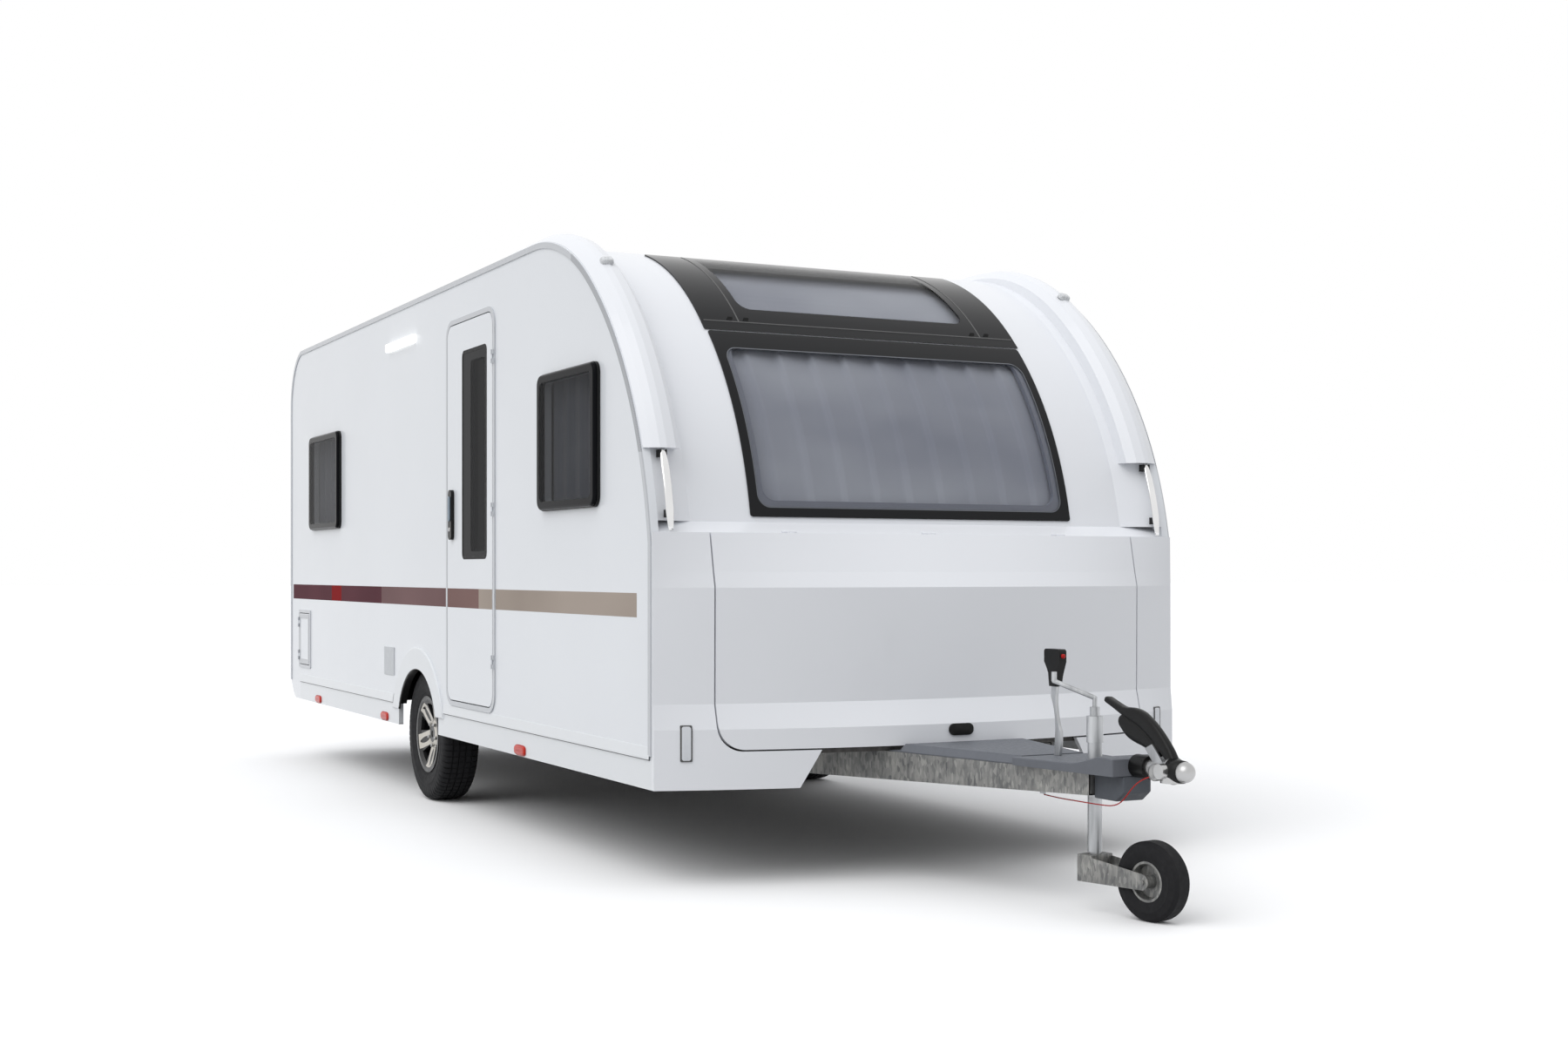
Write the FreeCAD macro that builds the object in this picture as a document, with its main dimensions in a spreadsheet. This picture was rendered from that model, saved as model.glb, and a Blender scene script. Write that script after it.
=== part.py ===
"""A single-axle touring caravan, built as separate pieces in one parametric document.

Lengths are millimetres. The front of the caravan faces -Y, the door side is -X and up is +Z.
The origin is on the ground below the middle of the overall length.
"""

import FreeCAD, Part

import math
import os
import re

import Sketcher

Vector = FreeCAD.Vector

DOOR_SIDE = -1
FAR_SIDE = 1
BOTH_SIDES = (DOOR_SIDE, FAR_SIDE)

# Driving dimensions: name, value in mm or degrees, what it sets
SIZES = [
    ("body_width", 2300, "outside of the side walls"),
    ("body_length", 5763, "front seam of the side wall to the rear face"),
    ("roof_height", 2480, "ground to the roof skin"),
    ("wall", 30, "sandwich wall thickness"),
    ("moulding", 20, "thickness of the moulded front and rear panels"),
    ("gap", 5, "clearance round every moving panel"),
    ("seat", 0.3, "clearance between pieces that rest on each other and move apart"),
    ("floor_base", 470, "ground to the underside of the floor"),
    ("floor_thick", 42, "thickness of the floor"),
    ("wall_base", 458, "ground to the lower edge of the side walls"),
    ("skirt_base", 350, "ground to the lower edge of the sill"),
    ("skirt_thick", 24, "thickness of the sill extrusion"),
    ("brow_foot", 1230, "height where the wall's front edge starts to lean back"),
    ("brow_mid_back", 609, "seam to the middle of the brow, along the length"),
    ("brow_mid_drop", 220, "roof to the middle of the brow"),
    ("brow_back", 1250, "seam to the end of the brow on the roof"),
    ("brow_lean", 8.3, "lean of the brow at its foot, in degrees"),
    ("brow_mid_tilt", 37.5, "lean of the brow at its middle, in degrees"),
    ("tail_inset", 278, "rear face to the end of the flat roof"),
    ("tail_drop", 330, "roof to the start of the rear corner"),
    ("nose_top", 1270, "height of the locker lid's top edge"),
    ("crease_high", 1127, "height of the upper crease of the nose"),
    ("crease_mid", 1071, "height where the nose turns upright"),
    ("shelf_high", 655, "height above the nose's lower shelf"),
    ("shelf_low", 565, "height below the nose's lower shelf"),
    ("nose_bow_top", 66, "how far the nose stands out at its top edge"),
    ("nose_bow_crease", 149, "how far the nose stands out at its upper crease"),
    ("nose_bow_mid", 186, "how far the nose stands out where it turns upright"),
    ("nose_bow_shelf", 176, "how far the nose stands out above the shelf"),
    ("nose_bow_foot", 228, "how far the nose stands out at its foot"),
    ("nose_side_foot", 20, "how far the nose's foot stands out at the side walls"),
    ("lid_edge", 220, "side wall to the edge of the locker lid"),
    ("lid_base", 491, "ground to the lower edge of the locker lid"),
    ("lid_corner", 95, "corner radius of the locker lid"),
    ("lid_shut_gap", 6, "shut line round the locker lid"),
    ("notch_in", 375, "lid's edge to the apron's opening for the drawbar, at its top"),
    ("notch_flare", 97, "how much further out the opening is at its foot"),
    ("panel_edge", 185, "side wall to the recessed front panel"),
    ("panel_ledge", 1312, "height of the ledge under the front window"),
    ("panel_foot_back", 85, "seam to the foot of the recessed front panel, along the length"),
    ("panel_mid_back", 500, "seam to the middle of the front panel, along the length"),
    ("panel_mid_share", 0.3322, "middle of the front panel, as a share of its height, from the roof"),
    ("panel_lean", 10.15, "lean of the front panel at its foot, in degrees"),
    ("panel_mid_tilt", 45, "lean of the front panel at its middle, in degrees"),
    ("panel_slope", 8.4, "slope of the front panel at its top, in degrees"),
    ("window_edge", 248, "edge of the front panel to the front window"),
    ("window_foot", 20, "ledge to the front window"),
    ("window_seam", 26, "middle of the front panel down to the window's top"),
    ("sky_edge", 239, "edge of the front panel to the sky window"),
    ("sky_window_back", 1084, "seam to the rear edge of the sky window"),
    ("pane", 6, "thickness of the acrylic panes"),
    ("fairing_rise", 42, "height of the fairings above the wall's edge"),
    ("fairing_depth", 95, "depth of the fairings behind the wall's edge"),
    ("fairing_foot", 1575, "height of the fairings' lower end"),
    ("fairing_back", 1729, "seam to the rear end of the fairings"),
    ("axle_back", 2950, "seam to the axle"),
    ("tyre_radius", 325, "outside of the road tyres"),
    ("tyre_width", 182, "section width of the road tyres"),
    ("wheel_inset", 38, "wall face to the outer side of the tyre"),
    ("rim_radius", 188, "outside of the road rims"),
    ("rim_bead", 178, "seat of the tyre on the road rims"),
    ("arch_radius", 345, "opening of the wheel arch"),
    ("arch_centre", 300, "height of the wheel arch's centre"),
    ("arch_trim", 110, "width of the wheel arch trim"),
    ("arch_proud", 10, "how far the wheel arch trim stands proud"),
    ("wheel_box_width", 300, "depth of the wheel box behind the wall"),
    ("wheel_box_skin", 6, "thickness of the wheel box"),
    ("door_back", 1771, "seam to the front edge of the door leaf"),
    ("door_width", 664, "width of the door leaf"),
    ("door_base", 532, "ground to the lower edge of the door leaf"),
    ("door_drop", 208, "roof to the top of the door leaf"),
    ("door_corner", 60, "corner radius of the door leaf"),
    ("door_trim", 22, "width of the door frame's trim"),
    ("door_proud", 6, "how far the door and its trim stand proud"),
    ("door_pane_in", 82, "front edge of the leaf to its window"),
    ("door_pane_width", 350, "width of the door window"),
    ("door_pane_base", 1190, "ground to the lower edge of the door window"),
    ("door_pane_drop", 137, "top of the door leaf to its window"),
    ("window_frame", 32, "width of the side windows' black frames"),
    ("window_proud", 27, "how far the side windows stand proud"),
    ("window_base", 1374, "lower edge of the side windows"),
    ("window_drop", 550, "roof to the upper edge of the side windows"),
    ("window_corner", 45, "corner radius of the side windows"),
    ("front_side_window_back", 496, "seam to the front side window"),
    ("front_side_window_length", 651, "length of the front side window"),
    ("rear_side_window_back", 4487, "seam to the rear side window"),
    ("rear_side_window_length", 701, "length of the rear side window"),
    ("service_back", 5234, "seam to the service door frame"),
    ("service_length", 301, "length of the service door frame"),
    ("service_base", 546, "ground to the service door frame"),
    ("service_height", 351, "height of the service door frame"),
    ("service_trim", 18, "width of the service door frame"),
    ("rail_width", 50, "flange of the chassis rails"),
    ("rail_height", 130, "web of the drawbar rails"),
    ("rail_skin", 5, "sheet thickness of the chassis rails"),
    ("rail_spread", 1000, "outside of the chassis rails behind the bend"),
    ("rail_front_spread", 150, "outside of the drawbar rails at the overrun unit"),
    ("rail_front_reach", 1130, "seam to the front end of the drawbar rails"),
    ("rail_bend_back", 700, "seam to the bend of the chassis rails"),
    ("rail_end_back", 5310, "seam to the rear end of the chassis rails"),
    ("axle_tube_size", 90, "square axle tube"),
    ("arm_lead", 150, "axle tube to the hub, along the length"),
    ("hub_pin_radius", 17, "stub axle"),
    ("jockey_behind", 69, "front end of the drawbar rails to the jockey wheel's tube"),
    ("jockey_tube_radius", 24, "outer tube of the jockey wheel"),
    ("jockey_leg_radius", 20, "inner tube of the jockey wheel"),
    ("jockey_tube_foot", 196, "ground to the foot of the outer tube"),
    ("jockey_tube_top", 648, "ground to the top of the outer tube"),
    ("jockey_wheel_radius", 130, "outside of the jockey wheel"),
    ("jockey_wheel_width", 84, "width of the jockey wheel"),
    ("jockey_trail", 250, "jockey wheel's tube to its axle"),
    ("jockey_turn", 11.5, "how far the jockey wheel is turned, in degrees"),
    ("coupling_high", 503, "height of the drawbar shaft"),
    ("ball_radius", 25.5, "socket for the tow ball"),
    ("steady_reach", 520, "length of the corner steadies' legs"),
    ("steady_front_back", 330, "seam to the front steadies' pivots"),
    ("steady_rear_back", 5290, "seam to the rear steadies' pivots"),
    ("steady_out", 400, "side wall to the middle of the steadies"),
    ("front_window_border", 62, "black border round the front window's clear part"),
    ("sky_window_border", 70, "black border round the sky window's clear part"),
    ("nose_side_top", 6, "how far the nose's top stands out at the side walls"),
    ("hatch_rim", 30, "flange of the roof hatches outside their holes"),
    ("hatch_rise", 55, "height of the roof hatches"),
    ("large_hatch_back", 2500, "seam to the large roof hatch's hole"),
    ("large_hatch_length", 500, "length of the large roof hatch's hole"),
    ("large_hatch_width", 700, "width of the large roof hatch's hole"),
    ("small_hatch_back", 4600, "seam to the small roof hatch's hole"),
    ("small_hatch_size", 400, "sides of the small roof hatch's hole"),
    ("wheel_box_length", 770, "length of the wheel boxes"),
    ("wheel_box_top", 715, "height of the wheel boxes"),
    ("bumper_wrap", 250, "length of the rear bumper along the side"),
    ("locker_depth", 340, "seam to the locker's rear wall"),
    ("handle_base", 1277, "lower end of the door handle"),
    ("handle_length", 232, "length of the door handle"),
    ("rim_face", 62, "middle of the wheel to the face of the rim"),
    ("drum_radius", 118, "outside of the brake drums"),
    ("drum_back", 62, "middle of the wheel to the back of the drum"),
    ("plate_thick", 6, "brake backing plates"),
    ("arm_out", 350, "side wall to the swing arms"),
    ("arm_thick", 35, "thickness of the swing arms"),
    ("steady_width", 60, "width of the corner steadies' legs"),
    ("steady_high", 405, "height of the corner steadies' pivots"),
    ("steady_pin", 8, "radius of the corner steadies' pins"),
    ("overrun_width", 110, "width of the overrun housing"),
    ("overrun_length", 160, "length of the overrun housing"),
    ("overrun_base", 385, "ground to the overrun housing"),
    ("shaft_radius", 28, "drawbar shaft"),
    ("ball_ahead", 180, "overrun housing to the middle of the ball"),
    ("cup_radius", 40, "outside of the coupling's cup"),
    ("handle_width", 34, "width of the coupling handle"),
    ("cover_front", 200, "width of the drawbar cover in front"),
    ("cover_rear", 340, "width of the drawbar cover behind"),
    ("cover_length", 470, "length of the drawbar cover"),
    ("lever_behind", 444, "front of the drawbar cover to the handbrake lever"),
    ("lever_top", 863, "ground to the top of the handbrake lever"),
    ("jockey_fork_top", 190, "ground to the top of the jockey fork"),
    ("jockey_rim_radius", 66, "outside of the jockey wheel's rim"),
    ("blind_thick", 30, "depth of the pleated blinds"),
    ("cover_thick", 28, "thickness of the drawbar cover"),
    ("cover_hood", 60, "height of the drawbar cover at its front"),
    ("bellows_radius", 38, "outside of the bellows round the drawbar shaft"),
    ("bellows_length", 70, "length of the bellows"),
    ("head_radius", 42, "round body of the coupling head"),
    ("head_nose", 91, "middle of the ball to the tip of the coupling"),
    ("head_nose_radius", 33, "outside of the coupling's tip"),
    ("knob_reach", 58, "middle of the coupling to the end of its side knobs"),
    ("knob_radius", 24, "outside of the coupling's side knobs"),
    ("socket_depth", 43, "depth of the ball socket's straight wall"),
    ("cup_base", 465, "ground to the lower edge of the coupling's cup"),
    ("lever_thick", 12, "thickness of the handbrake lever"),
    ("lever_wide", 30, "width of the handbrake lever"),
    ("grip_base", 735, "ground to the foot of the handbrake lever's grip"),
    ("crank_back", 92, "jockey wheel's tube to the crank's grip, along the length"),
    ("crank_rise", 54, "rise of the crank's arm"),
    ("collar_radius", 28, "collar of the jockey wheel's tube"),
    ("collar_high", 88, "height of the collar"),
    ("neck_high", 30, "height of the neck above the collar"),
    ("fairing_in", 150, "side wall to the inner edge of the fairings"),
    ("fairing_end", 160, "length of the rounded rear end of the fairings"),
    ("lock_width", 104, "width of the lid's lock"),
    ("lock_height", 44, "height of the lid's lock"),
    ("lock_proud", 8, "how far the lid's lock stands proud"),
    ("reflector_out", 108, "side wall to the middle of the front reflectors"),
    ("reflector_width", 40, "width of the front reflectors"),
    ("reflector_base", 452, "ground to the front reflectors"),
    ("reflector_height", 130, "height of the front reflectors"),
    ("roof_trim", 24, "width of the awning rails"),
    ("roof_trim_proud", 5, "how far the awning rails stand proud"),
    ("steady_skin", 4, "sheet thickness of the corner steadies"),
    ("clamp_high", 50, "height of the jockey wheel's clamp"),
    ("clamp_wide", 34, "middle of the jockey wheel's clamp to its ends"),
    ("crank_reach", 100, "jockey wheel's tube to the crank's grip, across"),
    ("crank_grip", 62, "length of the crank's grip"),
    ("hinge_radius", 5, "outside of the hinges' barrels"),
    ("hinge_pin", 3, "radius of the hinges' pins"),
    ("hinge_leaf", 4, "thickness of the hinges' plates"),
    ("hinge_length", 60, "length of each hinge"),
    ("hinge_inset", 200, "edge of the door leaf to its outer hinges"),
    ("service_hinge_inset", 75, "edge of the service door to its hinges"),
    ("lid_hinge_inset", 330, "edge of the lid to its outer hinges"),
    ("lamp_depth", 12, "recess of the rear lamps"),
    ("lamp_out", 60, "side wall to the rear lamps"),
    ("lamp_width", 180, "width of the rear lamps"),
    ("lamp_base", 560, "ground to the rear lamps"),
    ("lamp_height", 200, "height of the rear lamps"),
    ("awning_lamp_back", 2975, "seam to the awning lamp"),
    ("awning_lamp_length", 499, "length of the awning lamp"),
    ("awning_lamp_drop", 176, "roof to the awning lamp's top"),
    ("awning_lamp_height", 42, "height of the awning lamp"),
    ("awning_lamp_proud", 24, "how far the awning lamp stands proud"),
    ("front_marker_back", 1414, "seam to the front side marker"),
    ("middle_marker_back", 3561, "seam to the middle side marker"),
    ("rear_marker_back", 5034, "seam to the rear side marker"),
    ("marker_length", 96, "length of the side markers"),
    ("marker_base", 362, "ground to the side markers"),
    ("marker_height", 26, "height of the side markers"),
    ("marker_proud", 4, "how far the side markers stand proud"),
    ("grab_in", 70, "side wall's outside to the grab handles"),
    ("grab_radius", 11, "radius of the grab handles"),
    ("grab_pad", 28, "pads under the lower ends of the grab handles"),
    ("vent_back", 3376, "seam to the flap behind the wheel"),
    ("vent_length", 185, "length of the flap behind the wheel"),
    ("vent_base", 595, "ground to the flap behind the wheel"),
    ("vent_height", 145, "height of the flap behind the wheel"),
    ("vent_proud", 5, "how far the flap stands proud"),
]

# Values that follow from the driving dimensions
DERIVED = [
    ("half", "body_width / 2"),
    ("inner", "half - wall"),
    ("brow_mid_high", "roof_height - brow_mid_drop"),
    ("brow_low_radius", "(brow_mid_back ^ 2 + (brow_mid_high - brow_foot) ^ 2) / "
     "(2 * (brow_mid_back * cos(brow_lean) - (brow_mid_high - brow_foot) * sin(brow_lean)))"),
    ("brow_high_radius", "((brow_back - brow_mid_back) ^ 2 + brow_mid_drop ^ 2) / "
     "(2 * brow_mid_drop)"),
    ("fairing_foot_back", "brow_low_radius * cos(brow_lean) - sqrt(brow_low_radius ^ 2 - "
     "(fairing_foot - brow_foot + brow_low_radius * sin(brow_lean)) ^ 2)"),
    ("tail_foot", "roof_height - tail_drop"),
    ("tail_radius", "(tail_inset ^ 2 + tail_drop ^ 2) / (2 * tail_inset) + 1"),
    ("panel_mid_drop", "(roof_height - panel_ledge) * panel_mid_share"),
    ("panel_mid_high", "roof_height - panel_mid_drop"),
    ("panel_rise", "panel_mid_high - panel_ledge"),
    ("panel_run", "panel_mid_back - panel_foot_back"),
    ("panel_low_radius", "(panel_run ^ 2 + panel_rise ^ 2) / "
     "(2 * (panel_run * cos(panel_lean) - panel_rise * sin(panel_lean)))"),
    ("panel_high_radius", "((brow_back - panel_mid_back) ^ 2 + panel_mid_drop ^ 2) / (2 * "
     "(panel_mid_drop * cos(panel_slope) - (brow_back - panel_mid_back) * sin(panel_slope)))"),
    ("lid_width", "body_width - 2 * lid_edge"),
    ("lid_hinge_spread", "lid_width / 2 - lid_hinge_inset"),
    ("apron_notch", "lid_width - 2 * notch_in"),
    ("apron_notch_foot", "apron_notch + 2 * notch_flare"),
    ("panel_width", "body_width - 2 * panel_edge"),
    ("front_window_width", "panel_width - 2 * window_edge"),
    ("sky_window_width", "panel_width - 2 * sky_edge"),
    ("front_window_base", "panel_ledge + window_foot"),
    ("front_window_top", "panel_mid_high - window_seam"),
    ("overrun_front", "rail_front_reach + overrun_length"),
    ("ball_reach", "overrun_front + ball_ahead"),
    ("hitch_reach", "ball_reach + head_nose"),
    ("jockey_ahead", "rail_front_reach - jockey_behind"),
    ("lever_ahead", "overrun_front - lever_behind"),
    ("rail_flare", "(rail_spread - rail_front_spread) / 2 / (rail_front_reach + rail_bend_back)"),
    ("arm_inside", "half - arm_out"),
    ("steady_spread", "body_width - 2 * steady_out"),
    ("nose", "-(body_length - hitch_reach) / 2"),
    ("tail", "nose + body_length"),
    ("floor_top", "floor_base + floor_thick"),
    ("axle_y", "nose + axle_back"),
    ("jockey_y", "nose - jockey_ahead"),
    ("wheel_mid", "half - wheel_inset - tyre_width / 2"),
    ("door_front", "nose + door_back"),
    ("door_rear", "door_front + door_width"),
    ("door_top", "roof_height - door_drop"),
    ("door_pane_top", "door_top - door_pane_drop"),
    ("window_top", "roof_height - window_drop"),
    ("awning_lamp_base", "roof_height - awning_lamp_drop - awning_lamp_height"),
]

doc = FreeCAD.newDocument("TravelCaravan")
sheet = doc.addObject("Spreadsheet::Sheet", "Sizes")
trial_sheet = doc.addObject("Spreadsheet::Sheet", "Trial")
NODES = {}


def fill_sheet():
    rows = [(name, str(size), note) for name, size, note in SIZES]
    rows += [(name, "=" + rule, "worked out") for name, rule in DERIVED]
    for row, (name, content, note) in enumerate(rows, start=1):
        sheet.set(f"A{row}", name)
        sheet.set(f"B{row}", content)
        sheet.set(f"C{row}", note)
        sheet.setAlias(f"B{row}", name)
    doc.recompute()
    return [row[0] for row in rows]


ALIASES = set(fill_sheet())


def bound(rule):
    """The rule with every size written as the spreadsheet's cell, for setExpression."""
    return re.sub(
        r"[a-z_]+[a-z]",
        lambda word: f"Sizes.{word.group(0)}" if word.group(0) in ALIASES else word.group(0),
        str(rule),
    )


def number(rule):
    """The present value of a rule, worked out in a cell of a second spreadsheet."""
    trial_sheet.set("A1", "=" + bound(rule))
    trial_sheet.recompute()
    return float(trial_sheet.get("A1"))


def bind(thing, name, rule):
    thing.setExpression(name, bound(rule))


def keep(thing, label):
    """Marks an object of the document as one sub-part, under its own label."""
    thing.Label = label
    NODES[label] = thing
    return thing


def new_body(name):
    return doc.addObject("PartDesign::Body", name)


def origin_plane(body, view):
    role = {"plan": "XY_Plane", "front": "XZ_Plane", "side": "YZ_Plane"}[view]
    return next(item for item in body.Origin.OriginFeatures if item.Role == role)


def arc_between(start, end, radius):
    """An arc that bulges to the right of the way from start to end, or left if radius < 0."""
    chord = end - start
    half_chord = chord.Length / 2
    size = max(abs(radius), half_chord * 1.0001)
    rise = size - math.sqrt(size ** 2 - half_chord ** 2)
    right = Vector(chord.y, -chord.x, 0).normalize()
    middle = (start + end) * 0.5 + right * math.copysign(rise, radius)
    if radius < 0:
        start, end = end, start
    return Part.Arc(start, middle, end)


def new_sketch(body, view, name, level):
    """A sketch on one of the body's origin planes, moved to a level along the row's axis."""
    drawing = body.newObject("Sketcher::SketchObject", name)
    drawing.AttachmentSupport = [(origin_plane(body, view), "")]
    drawing.MapMode = "FlatFace"
    rule = f"-({level})" if view == "front" else f"{level}"
    drawing.AttachmentOffset = FreeCAD.Placement(Vector(0, 0, number(rule)), FreeCAD.Rotation())
    bind(drawing, ".AttachmentOffset.Base.z", rule)
    return drawing


def draw(drawing, corners):
    """A closed outline. Each corner is (across, up), with a radius if an arc leads to the next."""
    points = [Vector(number(corner[0]), number(corner[1]), 0) for corner in corners]
    ends = []
    for place, corner in enumerate(corners):
        start = points[place]
        end = points[(place + 1) % len(points)]
        if len(corner) == 2:
            edge = drawing.addGeometry(Part.LineSegment(start, end), False)
            ends.append((edge, 1, 2))
            continue
        edge = drawing.addGeometry(arc_between(start, end, number(corner[2])), False)
        forward = drawing.Geometry[edge].StartPoint.distanceToPoint(start) < 1e-3
        ends.append((edge, 1, 2) if forward else (edge, 2, 1))
    for place, (edge, first, last) in enumerate(ends):
        following = ends[(place + 1) % len(ends)]
        drawing.addConstraint(
            Sketcher.Constraint("Coincident", edge, last, following[0], following[1])
        )
    for place, (edge, first, last) in enumerate(ends):
        corner = corners[place]
        for kind, rule in (("DistanceX", corner[0]), ("DistanceY", corner[1])):
            held = drawing.addConstraint(
                Sketcher.Constraint(kind, -1, 1, edge, first, number(rule))
            )
            bind(drawing, f"Constraints[{held}]", rule)
        if len(corner) == 3:
            rule = corner[2].lstrip("-")
            held = drawing.addConstraint(Sketcher.Constraint("Radius", edge, abs(number(rule))))
            bind(drawing, f"Constraints[{held}]", rule)
    return drawing


def draw_circle(drawing, across, up, radius):
    circle = Part.Circle(Vector(number(across), number(up), 0), Vector(0, 0, 1), number(radius))
    edge = drawing.addGeometry(circle, False)
    for kind, rule in (("DistanceX", across), ("DistanceY", up)):
        held = drawing.addConstraint(Sketcher.Constraint(kind, -1, 1, edge, 3, number(rule)))
        bind(drawing, f"Constraints[{held}]", rule)
    held = drawing.addConstraint(Sketcher.Constraint("Radius", edge, number(radius)))
    bind(drawing, f"Constraints[{held}]", radius)
    return drawing


def extrude(body, view, name, start, end, outline, cuts=False):
    """Pads or pockets an outline between two levels of the row's axis."""
    if number(start) > number(end):
        start, end = end, start
    plane_level = end if cuts != (view == "front") else start
    if view == "front" and not cuts:
        plane_level = end
    if view == "front" and cuts:
        plane_level = start
    drawing = new_sketch(body, view, name + "_outline", plane_level)
    if isinstance(outline, dict):
        draw_circle(drawing, outline["across"], outline["up"], outline["radius"])
    else:
        draw(drawing, outline)
    before = body.Shape.Volume if cuts else 0
    kind = "PartDesign::Pocket" if cuts else "PartDesign::Pad"
    feature = body.newObject(kind, name)
    feature.Profile = drawing
    feature.Length = number(f"({end}) - ({start})")
    bind(feature, "Length", f"({end}) - ({start})")
    doc.recompute()
    if cuts and body.Shape.Volume >= before - 1:
        raise ValueError(f"{name} takes nothing away")
    return feature


def pocket(body, view, name, start, end, outline):
    return extrude(body, view, name, start, end, outline, cuts=True)


def loft(body, view, name, levels, ruled=True):
    """A loft through outlines at levels along the row's axis."""
    drawings = [
        draw(new_sketch(body, view, f"{name}_level_{place}", level), outline)
        for place, (level, outline) in enumerate(levels)
    ]
    feature = body.newObject("PartDesign::AdditiveLoft", name)
    feature.Profile = drawings[0]
    feature.Sections = drawings[1:]
    feature.Ruled = ruled
    doc.recompute()
    return feature


def turn(body, name, outline):
    """A solid of revolution about the body's X axis. Corners are (along X, radius)."""
    drawing = draw(new_sketch(body, "front", name + "_outline", "0"), outline)
    feature = body.newObject("PartDesign::Revolution", name)
    feature.Profile = drawing
    feature.ReferenceAxis = (drawing, ["H_Axis"])
    feature.Angle = 360
    doc.recompute()
    return feature


def rounded(low_across, low_up, high_across, high_up, radius):
    """A rectangle with round corners, counter-clockwise."""
    return [
        (f"{low_across} + {radius}", low_up),
        (f"{high_across} - {radius}", low_up, radius),
        (high_across, f"{low_up} + {radius}"),
        (high_across, f"{high_up} - {radius}", radius),
        (f"{high_across} - {radius}", high_up),
        (f"{low_across} + {radius}", high_up, radius),
        (low_across, f"{high_up} - {radius}"),
        (low_across, f"{low_up} + {radius}", radius),
    ]


def rectangle(low_across, low_up, high_across, high_up):
    return [
        (low_across, low_up),
        (high_across, low_up),
        (high_across, high_up),
        (low_across, high_up),
    ]


def ring(across, up, radius):
    return {"across": across, "up": up, "radius": radius}


def place(thing, across, along, up, rotation=None):
    """Moves an object to a place whose three rules are kept as expressions."""
    turned = rotation or FreeCAD.Rotation()
    thing.Placement = FreeCAD.Placement(
        Vector(number(across), number(along), number(up)), turned
    )
    for axis, rule in (("x", across), ("y", along), ("z", up)):
        bind(thing, f".Placement.Base.{axis}", rule)
    return thing


def block(name, low, high):
    """A box between two corners, each a triple of rules."""
    thing = doc.addObject("Part::Box", name)
    for side, start, end in zip(("Length", "Width", "Height"), low, high):
        setattr(thing, side, number(f"({end}) - ({start})"))
        bind(thing, side, f"({end}) - ({start})")
    return place(thing, *low)


AXIS_TURNS = {
    "x": FreeCAD.Rotation(Vector(0, 1, 0), 90),
    "y": FreeCAD.Rotation(Vector(1, 0, 0), -90),
    "z": FreeCAD.Rotation(),
}


def rod(name, axis, foot, radius, length):
    """A cylinder that starts at a triple of rules and runs along a row axis."""
    thing = doc.addObject("Part::Cylinder", name)
    thing.Radius = number(radius)
    thing.Height = number(length)
    bind(thing, "Radius", radius)
    bind(thing, "Height", length)
    return place(thing, *foot, rotation=AXIS_TURNS[axis])


def cut(name, base, tool):
    thing = doc.addObject("Part::Cut", name)
    thing.Base = base
    thing.Tool = tool
    return thing


def common(name, base, tool):
    thing = doc.addObject("Part::Common", name)
    thing.Base = base
    thing.Tool = tool
    return thing


def fuse(name, pieces):
    thing = doc.addObject("Part::MultiFuse", name)
    thing.Shapes = pieces
    thing.Refine = True
    return thing


def together(name, pieces):
    """Like pieces that don't touch, under one name."""
    thing = doc.addObject("Part::Compound", name)
    thing.Links = pieces
    return thing


HINGE_SPANS = {
    "fixed": [("-hinge_length / 2", "-hinge_length / 6"), ("hinge_length / 6", "hinge_length / 2")],
    "moving": [("-hinge_length / 6 + seat", "hinge_length / 6 - seat")],
}


def hinge_half(name, half, axis, spot, low, high):
    """Barrels and plates of one half of a hinge. The fixed half has the pin."""
    along = "xyz".index(axis)
    pieces = []
    for count, (start, end) in enumerate(HINGE_SPANS[half]):
        foot = spot[:along] + (f"{spot[along]} + {start}",) + spot[along + 1:]
        near = low[:along] + (foot[along],) + low[along + 1:]
        far = high[:along] + (f"{spot[along]} + {end}",) + high[along + 1:]
        pieces.append(rod(f"{name}_barrel_{count}", axis, foot, "hinge_radius",
                          f"({end}) - ({start})"))
        pieces.append(block(f"{name}_plate_{count}", near, far))
    foot = spot[:along] + (f"{spot[along]} - hinge_length / 2",) + spot[along + 1:]
    if half == "fixed":
        return pieces + [rod(f"{name}_pin", axis, foot, "hinge_pin", "hinge_length")]
    bore = rod(f"{name}_bore", axis, foot, "hinge_pin + seat", "hinge_length")
    return [cut(f"{name}_bored", fuse(f"{name}_half", pieces), bore)]


def soften(body, name, radius, toward=Vector(1, 0, 0)):
    """Rounds the edges of the body's face that lies furthest out on one axis."""
    solid = body.Tip
    faces = solid.Shape.Faces
    furthest = max(range(len(faces)),
                   key=lambda count: abs(faces[count].CenterOfMass.dot(toward)))
    feature = body.newObject("PartDesign::Fillet", name)
    feature.Base = (solid, [f"Face{furthest + 1}"])
    feature.Radius = number(radius)
    bind(feature, "Radius", radius)
    doc.recompute()
    return feature


def side_name(side):
    return "right" if side == DOOR_SIDE else "left"


def x_at(side, rule):
    return f"{side} * ({rule})"


def wall_outline():
    return [
        ("nose", "wall_base"),
        ("tail", "wall_base"),
        ("tail", "tail_foot", "tail_radius"),
        ("tail - tail_inset", "roof_height"),
        ("nose + brow_back", "roof_height", "brow_high_radius"),
        ("nose + brow_mid_back", "brow_mid_high", "brow_low_radius"),
        ("nose", "brow_foot"),
    ]


SIDE_WINDOWS = {
    "front": ("front_side_window_back", "front_side_window_length"),
    "rear": ("rear_side_window_back", "rear_side_window_length"),
}


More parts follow.
